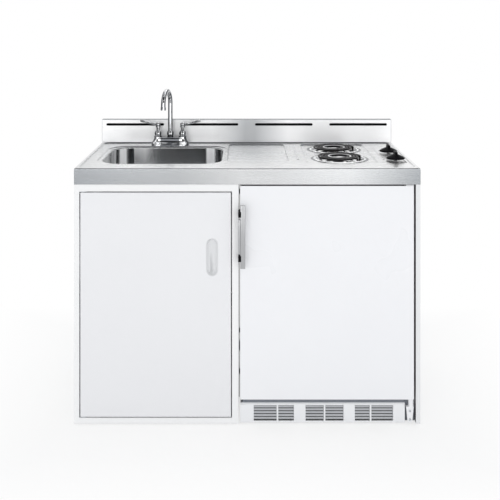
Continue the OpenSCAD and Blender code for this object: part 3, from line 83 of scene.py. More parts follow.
class Value:
    """A node's output in ordinary arithmetic: each sign adds a Math node."""

    def __init__(self, finish, output):
        self.finish = finish
        self.output = output

    def calc(self, operation, *terms):
        return self.finish.add("ShaderNodeMath", {"operation": operation}, dict(enumerate(terms)))

    def __add__(self, other):
        return self.calc("ADD", self, other)

    __radd__ = __add__

    def __sub__(self, other):
        return self.calc("SUBTRACT", self, other)

    def __rsub__(self, other):
        return self.calc("SUBTRACT", other, self)

    def __mul__(self, other):
        return self.calc("MULTIPLY", self, other)

    __rmul__ = __mul__

    def __pow__(self, other):
        return self.calc("POWER", self, other)

    def least(self, other):
        return self.calc("MINIMUM", self, other)

    def most(self, other):
        return self.calc("MAXIMUM", self, other)

    def size(self):
        return self.calc("ABSOLUTE", self)


class Finish:
    """A material in the making, with its Principled shader; or the world, with its Background."""

    def __init__(self, name, kind="materials", shader="Principled BSDF"):
        self.material = getattr(bpy.data, kind).new(name)
        self.material.use_nodes = True
        self.tree = self.material.node_tree
        self.shader = self.tree.nodes[shader]

    def add(self, kind, settings=None, sockets=None, output=0):
        """Adds a node, sets it up, then gives its sockets their values or links. The stops of a
        ramp are pairs of a place and a grey."""
        node = self.tree.nodes.new(kind)
        for name, value in (settings or {}).items():
            if name == "stops":
                elements = node.color_ramp.elements
                while len(elements) < len(value):
                    elements.new(0.5)
                for element, (place, grey) in zip(elements, value):
                    element.position = place
                    element.color = (grey, grey, grey, 1.0)
            else:
                setattr(node, name, value)
        for name, value in (sockets or {}).items():
            self.feed(node.inputs[name], value)
        return Value(self, node.outputs[output])

    def feed(self, socket, value):
        if isinstance(value, Value):
            self.tree.links.new(value.output, socket)
        elif socket.type == "RGBA":
            socket.default_value = (*value, 1.0)
        else:
            socket.default_value = value

    def place(self, stretch=(1.0, 1.0, 1.0)):
        """Object coordinates, stretched for a pattern."""
        where = self.add("ShaderNodeTexCoord", output="Object")
        return self.add("ShaderNodeMapping", sockets={"Vector": where, "Scale": stretch})

    def noise(self, scale, detail=3.0, rough=0.5, stretch=(1.0, 1.0, 1.0)):
        return self.add("ShaderNodeTexNoise", sockets={
            "Vector": self.place(stretch), "Scale": scale, "Detail": detail, "Roughness": rough})

    def cells(self, scale, output="Distance"):
        return self.add("ShaderNodeTexVoronoi", sockets={
            "Vector": self.place(), "Scale": scale}, output=output)

    def ramp(self, value, *stops):
        return self.add("ShaderNodeValToRGB", {"stops": stops}, {"Fac": value})

    def band(self, value, low, high, to_low=0.0, to_high=1.0):
        """Value carried from one span to another, clamped."""
        return self.add("ShaderNodeMapRange", {"clamp": True}, {
            "Value": value, "From Min": low, "From Max": high, "To Min": to_low, "To Max": to_high})

    def blend(self, factor, first, second):
        return self.add("ShaderNodeMix", {"data_type": "RGBA"}, {
            0: factor, 6: first, 7: second}, output=2)

    def axis(self, which):
        """One of the object's own coordinates, in metres."""
        where = self.add("ShaderNodeTexCoord", output="Object")
        return self.add("ShaderNodeSeparateXYZ", sockets={"Vector": where}, output=which)

    def facing(self, which):
        """How far the surface faces along one of the object's own axes."""
        normal = self.add("ShaderNodeTexCoord", output="Normal")
        return self.add("ShaderNodeSeparateXYZ", sockets={"Vector": normal}, output=which)

    def ray(self, kind):
        """1 where a ray of one kind meets the surface, such as the camera's, and else 0."""
        return self.add("ShaderNodeLightPath", output=f"Is {kind} Ray")

    def bump(self, height, distance):
        relief = self.add("ShaderNodeBump", sockets={
            "Height": height, "Distance": distance, "Strength": 1.0}, output="Normal")
        self.feed(self.shader.inputs["Normal"], relief)

    def set(self, **sockets):
        for name, value in sockets.items():
            self.feed(self.shader.inputs[name.replace("_", " ")], value)

    def mix_in(self, share, other, output):
        """Gives the tree's output the shader with a share of another one."""
        mixed = self.add("ShaderNodeMixShader", sockets={
            0: share, 1: Value(self, self.shader.outputs[0]), 2: other})
        self.feed(self.tree.nodes[output].inputs["Surface"], mixed)


def shade(colour, factor):
    return tuple(min(1.0, c * factor) for c in colour)


def brushed_metal(name, colour, roughness, grain, depth=6e-6, tint=0.06):
    """Sheet metal with a fine brushed grain; grain holds how far it is drawn out along X, Y and Z."""
    f = Finish(name)
    lines = f.noise(1.0, 4.0, 0.65, grain)
    cloud = f.noise(3.0, 2.0, 0.5)
    tone = lines * 0.6 + cloud * 0.4
    f.set(Base_Color=f.blend(tone, shade(colour, 1 - tint), shade(colour, 1 + tint)),
          Metallic=1.0,
          Roughness=f.band(tone, 0.3, 0.7, roughness - 0.05, roughness + 0.06))
    f.bump(lines, depth)
    return f.material


def worktop_steel(name, bright, dulled_and_shaded):
    """Brushed stainless sheet: fine lines along the unit, broad clouding and a few handling marks.
    The drainboard is brushed coarser. Painted highlight and shade: the apron is lighter in the middle
    and darker towards its two ends; the rolled edge, the tray steps, the rings round the drip bowls,
    the splash's middle band, top fold and ends and the deck's left end are painted darker."""
    f = Finish(name)
    lines = f.noise(1.0, 4.0, 0.65, (5.0, 1100.0, 1100.0))
    broad = f.noise(1.0, 2.0, 0.5, (1.2, 22.0, 22.0))
    marks = f.band(f.noise(60.0, 3.0, 0.7), 0.62, 0.72)
    across, depth, height = f.axis("X"), f.axis("Y"), f.axis("Z")
    facing = f.facing("Y")
    # Painted highlight and shade on the apron: lighter in the middle, darker towards both ends; the
    # rolled edge above it is painted darker.
    front = f.band(depth, FRONT_Y + 0.0012, FRONT_Y + 0.0002) * f.band(height, RIM_Z, RIM_Z - 0.0015)
    roll_shade = f.band(height, RIM_Z - 0.0034, RIM_Z - 0.0012) * f.band(depth, FRONT_Y + 0.006, FRONT_Y)
    apron_shade_ramp = f.ramp(f.band(across, -0.608, 0.608), (0.0, 1.0), (0.3, 0.74), (0.48, 0.28),
                  (0.8, 0.46), (1.0, 1.0))
    deck = f.band(height, DECK_Z, DECK_Z + 0.0005) * f.band(height, RIM_Z + 0.0003, RIM_Z - 0.0002)
    board = f.band((across - DRAINER_X).size(), DRAINER_HALF, DRAINER_HALF + 0.004, 1.0, 0.0) \
        * deck * f.band(height, RIM_Z - 0.0058, RIM_Z - 0.0065)
    # Painted shade on the steps of the pressed trays, on the hob tray's steps and on the side steps.
    steps = f.band(facing, -0.12, -0.5) * deck * f.band(depth, FRONT_Y + 0.006, FRONT_Y + 0.01)
    hob_step_shade = f.band(facing, 0.12, 0.5) * deck * f.band(across, 0.2, 0.22)
    # Painted shadow: a dark ring on the deck round each drip bowl's rim.
    rim_shadows = f.band((burner_radius(f) - SHADOW_RING_RADIUS).size(), 0.0075, 0.003) * deck
    side_step_shade = f.band(f.facing("X").size(), 0.12, 0.45) * deck
    # deep is the darkest painted shade, on the tray steps, the drip-bowl rings and the side steps.
    deep = (steps * 0.85).most(rim_shadows * 0.55).most(side_step_shade * 0.14)
    splash = f.band(height, RIM_Z + 0.0001, RIM_Z + 0.0005)
    # Painted reflection: a dark band in the middle of the splash; painted shade at its top fold and at
    # its two ends.
    splash_reflection_shade = f.band((across - 0.014).size(), 0.16, 0.02) * splash
    fold_shade = f.band(height, FOLD_Z, FOLD_Z + 0.002)
    tip_shade = f.band(across.size(), 0.6035, 0.606) * splash
    # Painted shade: the deck darker towards its left end.
    left_end_shade = f.band(across, -0.42, -0.6) * deck
    tone = lines * 0.55 + broad * 0.45
    # Painted shade and highlight gathered here, with the drainboard's own duller brushing.
    board_dull_and_shade = (front * apron_shade_ramp).most(roll_shade * 0.6).most(board * lines * 0.16).most(steps * 0.97)
    board_dull_and_shade = board_dull_and_shade.most(splash_reflection_shade * 0.75).most(fold_shade * 0.85).most(left_end_shade * 0.42)
    board_dull_and_shade = board_dull_and_shade.most(hob_step_shade * 0.9).most(rim_shadows * 0.9).most(tip_shade * 0.4)
    clean = f.blend((tone + splash + board * 0.5).least(1.0), shade(bright, 0.825), bright)
    sheet = f.blend(board_dull_and_shade.least(1.0), clean, dulled_and_shaded)
    f.set(Base_Color=f.blend(deep, sheet, shade(dulled_and_shaded, 0.3)),
          Metallic=1 - splash * 0.25 - board * 0.3,
          Roughness=f.band(tone, 0.3, 0.7, 0.22, 0.32) + marks * 0.03 + splash * 0.16)
    f.bump(lines, 2.2e-5)
    return f.material


def bowl_steel(name):
    """Drawn and polished bowl: vertical polishing lines, and painted reflection bands, dark and white,
    on the wall that faces the front, following where its corners turn and how far along it is.
    """
    f = Finish(name)
    lines = f.noise(1.0, 3.0, 0.6, (260.0, 260.0, 14.0))
    turn, back, up = f.facing("X"), f.facing("Y"), f.facing("Z")
    # Painted reflection: on the wall facing the front, dark bands are dark metal and white bands are a
    # non-metallic painted highlight.
    wall = f.band(up.size(), 0.35, 0.6, 1.0, 0.0) * f.band(back, -0.05, -0.25)
    corner = f.ramp(turn * 0.5 + 0.5, (0.0, 0.35), (0.06, 0.1), (0.18, 0.15), (0.24, 1.0),
                    (0.42, 1.0), (0.48, 0.0), (0.55, 0.0), (0.64, 0.05), (0.71, 1.0), (0.84, 1.0),
                    (0.9, 0.1), (0.95, 0.9), (1.0, 0.45))
    along = f.ramp(f.band(f.axis("X"), -0.5, -0.16), (0.0, 0.4), (0.12, 1.0), (0.25, 0.95),
                   (0.34, 0.6), (0.43, 0.26), (1.0, 0.17))
    flat = f.band(turn.size(), 0.06, 0.01)
    tone = f.blend(flat, corner, along)
    dark = f.blend(wall, (1, 1, 1), tone)
    f.set(Base_Color=f.blend(dark, (0.09, 0.095, 0.1), (0.95, 0.955, 0.96)),
          Metallic=f.band(dark * wall, 0.5, 1.0, 1.0, 0.0),
          Roughness=f.band(lines, 0.3, 0.7, 0.12, 0.2))
    f.bump(lines, 3e-6)
    return f.material


def bright_chrome(name, bells=None):
    """Plated metal: painted reflection in dark and bright bands that follow how the surface turns,
    upturned faces painted lighter, faint water spots and wiping marks. On the faucet's body the bells
    get a painted highlight in the middle and the bridge between them painted shade; bells gives the
    body's middle and its foot."""
    f = Finish(name)
    haze = f.noise(28.0, 3.0, 0.6)
    spots = f.band(f.cells(240.0), 0.05, 0.16, 1.0, 0.0)
    # Painted reflection: dark and bright bands by the way the surface turns; faces turned up painted
    # lighter as the sky.
    turn = f.facing("X") * 0.5 + 0.5
    band = f.ramp(turn, (0.0, 0.5), (0.04, 0.0), (0.29, 0.03), (0.34, 0.8), (0.42, 0.85),
                  (0.45, 0.08), (0.55, 0.06), (0.6, 1.0), (0.74, 0.95), (0.79, 0.04), (0.95, 0.0),
                  (1.0, 0.6))
    sky = f.band(f.facing("Z"), 0.6, 0.9)
    tone = f.band(band, 0.0, 1.0).most(sky * 0.35)
    if bells:
        # Painted highlight in the middle of each bell and painted shade on the bridge between them.
        across = (f.axis("X") - bells[0]).size()
        foot = f.band(f.axis("Z"), bells[1] + 0.04, bells[1] + 0.03)
        bell_highlight = f.ramp(turn, (0.0, 0.5), (0.06, 0.0), (0.2, 0.05), (0.3, 1.0), (0.68, 1.0),
                      (0.76, 0.0), (0.94, 0.0), (1.0, 0.5))
        bridge_shade = f.band(across, 0.042, 0.036) * foot
        tone = f.band(f.blend(f.band(across, 0.036, 0.042) * foot, tone, bell_highlight), 0.0, 1.0)
        tone = tone * (1 - bridge_shade * 0.75)
    tone = (tone + haze * 0.06).least(1.0)
    f.set(Base_Color=f.blend(tone, (0.07, 0.075, 0.085), (0.93, 0.94, 0.95)),
          Metallic=1.0,
          Roughness=f.band(haze, 0.35, 0.75, 0.05, 0.1) + spots * 0.04)
    f.bump(haze, 4e-6)
    return f.material


def drip_chrome(name):
    """Bright pressed metal of the drip bowls and the coil supports, a little heat-stained inside."""
    f = Finish(name)
    haze = f.noise(28.0, 3.0, 0.6)
    stain = f.band(f.noise(11.0, 4.0, 0.6), 0.5, 0.75)
    deep = f.band(f.axis("Z"), 0.893, 0.88)
    f.set(Base_Color=f.blend(stain * deep * 0.7, (0.9, 0.905, 0.91), (0.5, 0.47, 0.42)),
          Metallic=1.0,
          Roughness=f.band(haze, 0.35, 0.75, 0.08, 0.16))
    f.bump(haze, 4e-6)
    return f.material


def white_enamel(name, colour, roughness=0.33, peel=9e-6, low_shade=0.0):
    """Baked white paint on sheet steel with its orange peel, a faint cloud, flecks, and painted shade
    that darkens it low down.
    """
    f = Finish(name)
    grain = f.noise(1500.0, 2.0, 0.5)
    cloud = f.noise(2.2, 3.0, 0.6)
    fleck = f.band(f.noise(420.0, 1.0, 0.5), 0.66, 0.74)
    # Painted shade: darker towards the floor, by low_shade.
    low = f.band(f.axis("Z"), 0.0, 0.75, 1.0, 0.0)
    cloud_fleck_and_low_shade = cloud * 0.55 + low * low_shade + fleck * 0.25
    f.set(Base_Color=f.blend(cloud_fleck_and_low_shade.least(1.0), shade(colour, 1.015), shade(colour, 0.93)),
          Roughness=f.band(cloud, 0.3, 0.7, roughness - 0.04, roughness + 0.05),
          Coat_Roughness=0.12,
          Coat_Weight=f.band(cloud, 0.2, 0.8, 0.2, 0.32))
    f.bump(grain, peel)
    return f.material


def moulded(name, colour, roughness=0.45, grain=1200.0, depth=1.2e-5, wear=0.05, gloss=1.5):
    """Moulded plastic or rubber with a fine mould grain and slight rubbing."""
    f = Finish(name)
    f.set(IOR=gloss)
    fine = f.noise(grain, 2.0, 0.6)
    broad = f.noise(14.0, 3.0, 0.55)
    f.set(Base_Color=f.blend(broad, shade(colour, 1 - wear), shade(colour, 1 + wear)),
          Roughness=f.band(broad, 0.3, 0.7, roughness - 0.06, roughness + 0.07))
    f.bump(fine, depth)
    return f.material


def clear_plastic(name, colour=(0.86, 0.92, 0.94), alpha=0.45):
    """Clear injection moulding: partly see-through, with faint flow marks."""
    f = Finish(name)
    flow = f.noise(9.0, 3.0, 0.5, (1.0, 1.0, 5.0))
    f.set(Base_Color=f.blend(flow, shade(colour, 0.94), shade(colour, 1.04)),
          Roughness=f.band(flow, 0.3, 0.7, 0.06, 0.14),
          Alpha=f.band(flow, 0.3, 0.7, alpha - 0.05, alpha + 0.06),
          IOR=1.49)
    f.bump(flow, 8e-6)
    return f.material


def burner_radius(f):
    """Distance from the nearer burner's centre."""
    across = f.axis("X") - BURNER_X
    along = (f.axis("Y") - BURNER_Y).size() - BURNER_STEP
    return (across * across + along * along) ** 0.5


def heating_sheath(name):
    """Blackened sheath of a heating coil, with a painted highlight on the top of one of its inner turns.
    """
    f = Finish(name)
    scale = f.noise(260.0, 4.0, 0.7)
    heat = f.noise(16.0, 2.0, 0.5)
    top = f.band(f.facing("Z"), 0.25, 0.6)
    # Painted highlight: a bright metallic ring on the top of one inner turn.
    painted_highlight = f.band((burner_radius(f) - HIGHLIGHT_RADIUS).size(), 0.0048, 0.0022) * top
    dark = f.blend(f.band(heat, 0.35, 0.7), (0.004, 0.004, 0.005), (0.012, 0.011, 0.011))
    f.set(Base_Color=f.blend(painted_highlight, dark, (0.75, 0.75, 0.76)),
          Metallic=painted_highlight,
          Roughness=f.band(scale, 0.3, 0.7, 0.26, 0.42), IOR=1.2)
    f.bump(scale, 1.2e-5)
    return f.material


def rigid_foam(name):
    """Foamed insulation with its skin of small cells."""
    f = Finish(name)
    cell = f.cells(900.0)
    broad = f.noise(20.0, 3.0, 0.5)
    f.set(Base_Color=f.blend(broad, (0.78, 0.68, 0.4), (0.88, 0.8, 0.53)), Roughness=0.9)
    f.bump(cell, 3e-4)
    return f.material


def raw_ceramic(name):
    """Unglazed terminal block, speckled."""
    f = Finish(name)
    grit = f.noise(700.0, 3.0, 0.6)
    f.set(Base_Color=f.blend(grit, (0.7, 0.66, 0.57), (0.84, 0.81, 0.73)), Roughness=0.8)
    f.bump(grit, 4e-5)
    return f.material


def galvanised_sheet(name, spangle=55.0):
    """Zinc-coated steel with its spangle."""
    f = Finish(name)
    tone = f.add("ShaderNodeSeparateColor", sockets={"Color": f.cells(spangle, "Color")})
    fine = f.noise(500.0, 2.0, 0.5)
    f.set(Base_Color=f.blend(tone, (0.5, 0.52, 0.54), (0.66, 0.68, 0.7)),
          Metallic=0.9,
          Roughness=f.band(tone, 0.0, 1.0, 0.36, 0.52))
    f.bump(fine, 6e-6)
    return f.material


FINISHES = {}


def finish_of(slot):
    """The material of one of the record's slots, made on first use."""
    hues = {name: tuple(getattr(bpy.context.scene.kitchenette_colours, name))
            for name in PieceColours.__annotations__}
    makers = {
        "steel": lambda n: worktop_steel(n, hues["steel"], hues["steel_dull"]),
        "bowl_steel": bowl_steel,
        "chrome": bright_chrome,
        "drip_chrome": drip_chrome,
        "nut_plastic": lambda n: moulded(n, (0.09, 0.09, 0.1), 0.5),
        "brass": lambda n: brushed_metal(n, (0.72, 0.52, 0.22), 0.3, (60.0, 60.0, 900.0)),
        "galvanised": galvanised_sheet,
        "element": heating_sheath,
        "block_ceramic": raw_ceramic,
        "switch_body": lambda n: moulded(n, (0.045, 0.045, 0.05), 0.5),
        "collar_plastic": lambda n: moulded(n, (0.76, 0.74, 0.68), 0.5),
        "shaft_steel": lambda n: brushed_metal(n, (0.55, 0.55, 0.57), 0.3, (60.0, 60.0, 900.0)),
        "knob_black": lambda n: moulded(n, hues["knob"], 0.33, 900.0, 6e-6, gloss=1.1),
        "cabinet_white": lambda n: white_enamel(n, hues["cabinet"]),
        "door_white": lambda n: white_enamel(n, hues["cabinet_door"], 0.4, 1.6e-5, 0.3),
        "pull_grey": lambda n: white_enamel(n, hues["door_pull"], 0.35),
        "zinc": lambda n: galvanised_sheet(n, 90.0),
        "catch": lambda n: moulded(n, (0.02, 0.02, 0.022), 0.5, gloss=1.25),
        "foot": lambda n: moulded(n, (0.1, 0.1, 0.105), 0.55),
        "fridge_white": lambda n: white_enamel(n, hues["refrigerator"], 0.3, 6e-6),
        "foam": rigid_foam,
        "liner_white": lambda n: moulded(n, (0.84, 0.85, 0.86), 0.22, 300.0, 8e-6, 0.02),
        "shelf_glass": lambda n: clear_plastic(n, (0.8, 0.9, 0.88), 0.4),
        "clear_plastic": clear_plastic,
        "evaporator_metal": lambda n: brushed_metal(n, (0.76, 0.77, 0.79), 0.35,
                                                    (8.0, 400.0, 400.0)),
        "black_enamel": lambda n: moulded(n, (0.02, 0.02, 0.022), 0.35, 500.0),
        "grille_white": lambda n: moulded(n, hues["grille"], 0.38, 1000.0, 1e-5, 0.02),
        "seal": lambda n: moulded(n, (0.6, 0.61, 0.62), 0.6),
        "handle_metal": lambda n: brushed_metal(n, hues["handle"], 0.3, (900.0, 900.0, 7.0),
                                                5e-6, 0.05),
        "mount_black": lambda n: moulded(n, hues["mount"], 0.5, gloss=1.15),
    }
    if slot not in FINISHES:
        FINISHES[slot] = makers[slot](slot)
    return FINISHES[slot]


SLOT_OF = {row["node"]: row["material_slot"] for row in frame["record"]["subparts"]}
BODY_OF = {node: body for body, nodes in frame["record"]["behaviour"]["bodies"].items()
           for node in nodes}


# ------------------------------------------------------------------ modelling by hand


def deselect():
    if bpy.context.object and bpy.context.object.mode != "OBJECT":
        bpy.ops.object.mode_set(mode="OBJECT")
    bpy.ops.object.select_all(action="DESELECT")


def only(piece):
    """Selects one object and makes it the active one."""
    deselect()
    piece.select_set(True)
    bpy.context.view_layer.objects.active = piece


def begin(kind, **settings):
    """Adds a primitive at its size and place, with nothing else selected."""
    deselect()
    getattr(bpy.ops.mesh, f"primitive_{kind}_add")(**settings)
    return bpy.context.object


def block(low, high):
    """A block between two corners, given in millimetres."""
    low, high = Vector(low) * MM, Vector(high) * MM
    piece = begin("cube", size=1, location=(low + high) / 2)
    piece.scale = high - low
    return settle(piece)


def copy_of(piece, shift=(0, 0, 0)):
    """A copy with its own mesh, moved by millimetres."""
    twin = piece.copy()
    twin.data = piece.data.copy()
    bpy.context.scene.collection.objects.link(twin)
    twin.location = Vector(shift) * MM
    return settle(twin)


def cut(piece, through, normal):
    """Cuts a piece through by a plane, given in millimetres."""
    edit(piece)
    bpy.ops.mesh.select_all(action="SELECT")
    bpy.ops.mesh.bisect(plane_co=Vector(through) * MM, plane_no=normal)
    bpy.ops.object.mode_set(mode="OBJECT")


def settle(piece):
    """Applies place, turn and scale, so that the object sits at the origin."""
    only(piece)
    bpy.ops.object.transform_apply(location=True, rotation=True, scale=True)
    return piece


def modify(piece, kind, **settings):
    """Adds a modifier and applies it."""
    only(piece)
    modifier = piece.modifiers.new(kind.title(), kind)
    for name, value in settings.items():
        setattr(modifier, name, value)
    bpy.ops.object.modifier_apply(modifier=modifier.name)
    return piece


def edit(piece, elements="FACE"):
    """Opens a piece in edit mode with nothing selected."""
    only(piece)
    bpy.ops.object.mode_set(mode="EDIT")
    bpy.ops.mesh.select_mode(type=elements)
    bpy.ops.mesh.select_all(action="DESELECT")


def pick(piece, test, elements="faces"):
    """Selects the faces, edges or vertices for which test holds."""
    mesh = bmesh.from_edit_mesh(piece.data)
    for item in getattr(mesh, elements):
        item.select_set(bool(test(item)))
    mesh.select_flush_mode()
    bmesh.update_edit_mesh(piece.data)


def close_up(piece, angle=32.0):
    """Merges doubles, turns the faces outwards and smooths the shading up to an angle."""
    edit(piece, "VERT")
    bpy.ops.mesh.select_all(action="SELECT")
    bpy.ops.mesh.remove_doubles(threshold=2e-6)
    bpy.ops.mesh.normals_make_consistent(inside=False)
    bpy.ops.object.mode_set(mode="OBJECT")
    only(piece)
    bpy.ops.object.shade_smooth_by_angle(angle=math.radians(angle))
    return piece


def together(name, *pieces):
    """Joins pieces into one object."""
    deselect()
    for piece in pieces:
        piece.select_set(True)
    bpy.context.view_layer.objects.active = pieces[0]
    bpy.ops.object.join()
    joined = bpy.context.object
    joined.name = name
    return joined


def turned(rings, place=(0, 0, 0), steps=64):
    """A turned piece: rings of (radius, height) are extruded from a circle, one after another."""
    radius, height = rings[0]
    piece = begin("circle", vertices=steps, radius=max(radius, 1e-5), location=(0, 0, height))
    bpy.ops.object.transform_apply(location=True, rotation=False, scale=False)
    bpy.ops.object.mode_set(mode="EDIT")
    bpy.ops.mesh.select_mode(type="EDGE")
    bpy.ops.mesh.select_all(action="SELECT")
    bpy.ops.mesh.duplicate()
    bpy.ops.mesh.edge_face_add()
    bpy.ops.mesh.select_all(action="DESELECT")
    pick(piece, lambda edge: not edge.link_faces, "edges")
    for r, h in rings[1:]:
        bpy.ops.mesh.extrude_region()
        bpy.ops.transform.translate(value=(0, 0, h - height))
        grow = max(r, 1e-5) / max(radius, 1e-5)
        bpy.ops.transform.resize(value=(grow, grow, 1), center_override=(0, 0, h))
        radius, height = r, h
    bpy.ops.mesh.edge_face_add()
    bpy.ops.object.mode_set(mode="OBJECT")
    piece.matrix_world = Matrix.Translation(Vector(place)) @ \
        Z.to_track_quat("Z", "Y").to_matrix().to_4x4()
    return settle(piece)


def inset_front(piece, width, push):
    """Opens a piece, insets its front face and moves the middle of it along Y."""
    edit(piece)
    pick(piece, lambda face: face.normal.y < -0.9)
    bpy.ops.mesh.inset(thickness=width)
    bpy.ops.transform.translate(value=(0, push, 0))


def rounded(piece, width, segments=3, angle=30.0):
    """Rounds the sharp edges."""
    return modify(piece, "BEVEL", width=width, segments=segments, limit_method="ANGLE",
                  angle_limit=math.radians(angle), use_clamp_overlap=False,
                  harden_normals=False)


def skin_of(node, width):
    """A finished copy of a CAD node: merged, its flats cleared, its edges rounded and smoothed."""
    piece = bpy.data.objects.new(node, frame["nodes"][node].data.copy())
    bpy.context.scene.collection.objects.link(piece)
    piece.data.materials.clear()
    edit(piece, "VERT")
    bpy.ops.mesh.select_all(action="SELECT")
    bpy.ops.mesh.remove_doubles(threshold=4e-6)
    bpy.ops.mesh.dissolve_limited(angle_limit=math.radians(0.4))
    bpy.ops.object.mode_set(mode="OBJECT")
    if width:
        rounded(piece, width, 2, 35.0)
    only(piece)
    bpy.ops.object.shade_smooth_by_angle(angle=math.radians(32))
    if width:
        modify(piece, "WEIGHTED_NORMAL", weight=100, keep_sharp=True)
    return piece


def dress(piece, name, slot, body, *stands_for, finish=None):
    """Names a finished piece, gives it its finish and its body, and hides the nodes it stands for."""
    piece.name = name
    piece.data.materials.clear()
    piece.data.materials.append(finish or finish_of(slot))
    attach(piece, body)
    if stands_for:
        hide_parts(*stands_for)


def dress_skin(node, width=0.0, finish=None):
    """Replaces a CAD node by its finished copy."""
    dress(skin_of(node, width), f"{node}_finished", SLOT_OF[node], BODY_OF[node], node,
          finish=finish)


def dress_node(node):
    """Gives a CAD node that stays as it is its finish."""
    mesh = frame["nodes"][node].data
    mesh.materials.clear()
    mesh.materials.append(finish_of(SLOT_OF[node]))


# ------------------------------------------------------------------ sizes a user would change


class StageSizes(bpy.types.PropertyGroup):
    eye_height: bpy.props.FloatProperty(
        name="Eye height", description="Height of the camera above the floor", default=1.457,
        min=0.2, max=3.0, unit="LENGTH")
    eye_distance: bpy.props.FloatProperty(
        name="Eye distance", description="Distance of the camera in front of the worktop",
        default=2.96, min=1.0, max=8.0, unit="LENGTH")
    front_power: bpy.props.FloatProperty(
        name="Front lamps", description="Power of each of the two soft boxes beside the camera",
        default=19.0, min=0.0, max=500.0, unit="POWER")
    top_power: bpy.props.FloatProperty(
        name="Top lamp", description="Power of the soft box above the unit", default=14.0,
        min=0.0, max=500.0, unit="POWER")
    sky: bpy.props.FloatProperty(
        name="Room light", description="Strength of the light from all round", default=0.78,
        min=0.0, max=2.0)


class PieceSizes(bpy.types.PropertyGroup):
    worktop_edge: bpy.props.FloatProperty(
        name="Worktop edge", description="Rounding of the edges of worktop and splash",
        default=0.0006, min=0.0002, max=0.001, unit="LENGTH")
    sheet_edge: bpy.props.FloatProperty(
        name="Sheet edge", description="Rounding of the edges of doors, frame and panels",
        default=0.0007, min=0.0002, max=0.001, unit="LENGTH")
    grip_width: bpy.props.FloatProperty(
        name="Knob grip width", description="Width of the grip across each knob",
        default=0.0124, min=0.006, max=0.02, unit="LENGTH")
    grip_length: bpy.props.FloatProperty(
        name="Knob grip length", description="Length of the grip across each knob",
        default=0.055, min=0.03, max=0.062, unit="LENGTH")
    handle_edge: bpy.props.FloatProperty(
        name="Handle edge", description="Rounding of the front edges of the handle's bar",
        default=0.003, min=0.0008, max=0.004, unit="LENGTH")
    mount_height: bpy.props.FloatProperty(
        name="Mount height", description="Height of each of the handle's two mounts",
        default=0.0196, min=0.012, max=0.03, unit="LENGTH")
    louvres: bpy.props.IntProperty(
        name="Louvres", description="Louvres one above another in each vent of the kick grille",
        default=5, min=2, max=6)
    louvre_tilt: bpy.props.FloatProperty(
        name="Louvre tilt", description="Tilt of the louvres out of the level",
        default=math.radians(62), min=0.0, max=math.radians(80), subtype="ANGLE")


def colour_property(name, description, default):
    return bpy.props.FloatVectorProperty(
        name=name, description=description, default=default, size=3, min=0.0, max=1.0,
        subtype="COLOR")


class PieceColours(bpy.types.PropertyGroup):
    steel: colour_property("Steel", "Bright brushed steel of the worktop and splash",
                           (0.95, 0.953, 0.957))
    # Mostly painted shade on the steel's steps, folds, rings and ends; also the drainboard's own duller
    # brushing.
    steel_dull: colour_property("Dull steel", "Steel at folds, tray steps and worn places",
                                (0.33, 0.345, 0.36))
    cabinet: colour_property("Cabinet", "Paint of the cabinet and its face frame", (0.9, 0.9, 0.9))
    cabinet_door: colour_property("Cabinet door", "Paint of the cabinet door",
                                  (0.84, 0.84, 0.855))
    door_pull: colour_property("Door pull", "Paint of the recessed door pull",
                               (0.74, 0.745, 0.755))
    # A darker copy of the cabinet's white: painted shade on the end panel.
    end_panel: colour_property("End panel", "Paint of the panel beside the refrigerator",
                               (0.81, 0.815, 0.825))
    refrigerator: colour_property("Refrigerator", "Enamel of the refrigerator",
                                  (0.885, 0.887, 0.905))
    knob: colour_property("Knobs", "Plastic of the control knobs", (0.006, 0.006, 0.007))
    # Also the slot baffles: black sheets that stand in for the shade inside the splash's slots.
    mount: colour_property("Mounts", "Plastic of the handle's mounts and the slot baffles",
                           (0.006, 0.006, 0.007))
    handle: colour_property("Handle", "Satin metal of the refrigerator handle",
                            (0.46, 0.465, 0.475))
    grille: colour_property("Grille", "Plastic of the kick grille", (0.85, 0.855, 0.87))
    # A darker copy of the grille's plastic: painted shade on the louvres.
    louvre: colour_property("Louvres", "Plastic of the grille's louvres", (0.48, 0.49, 0.51))
    # Painted shade: the colour of the channel that stands in for the shadow above the kick grille.
    channel: colour_property("Kick channel", "Plastic of the channel above the kick grille",
                             (0.2, 0.215, 0.24))


# ------------------------------------------------------------------ operators


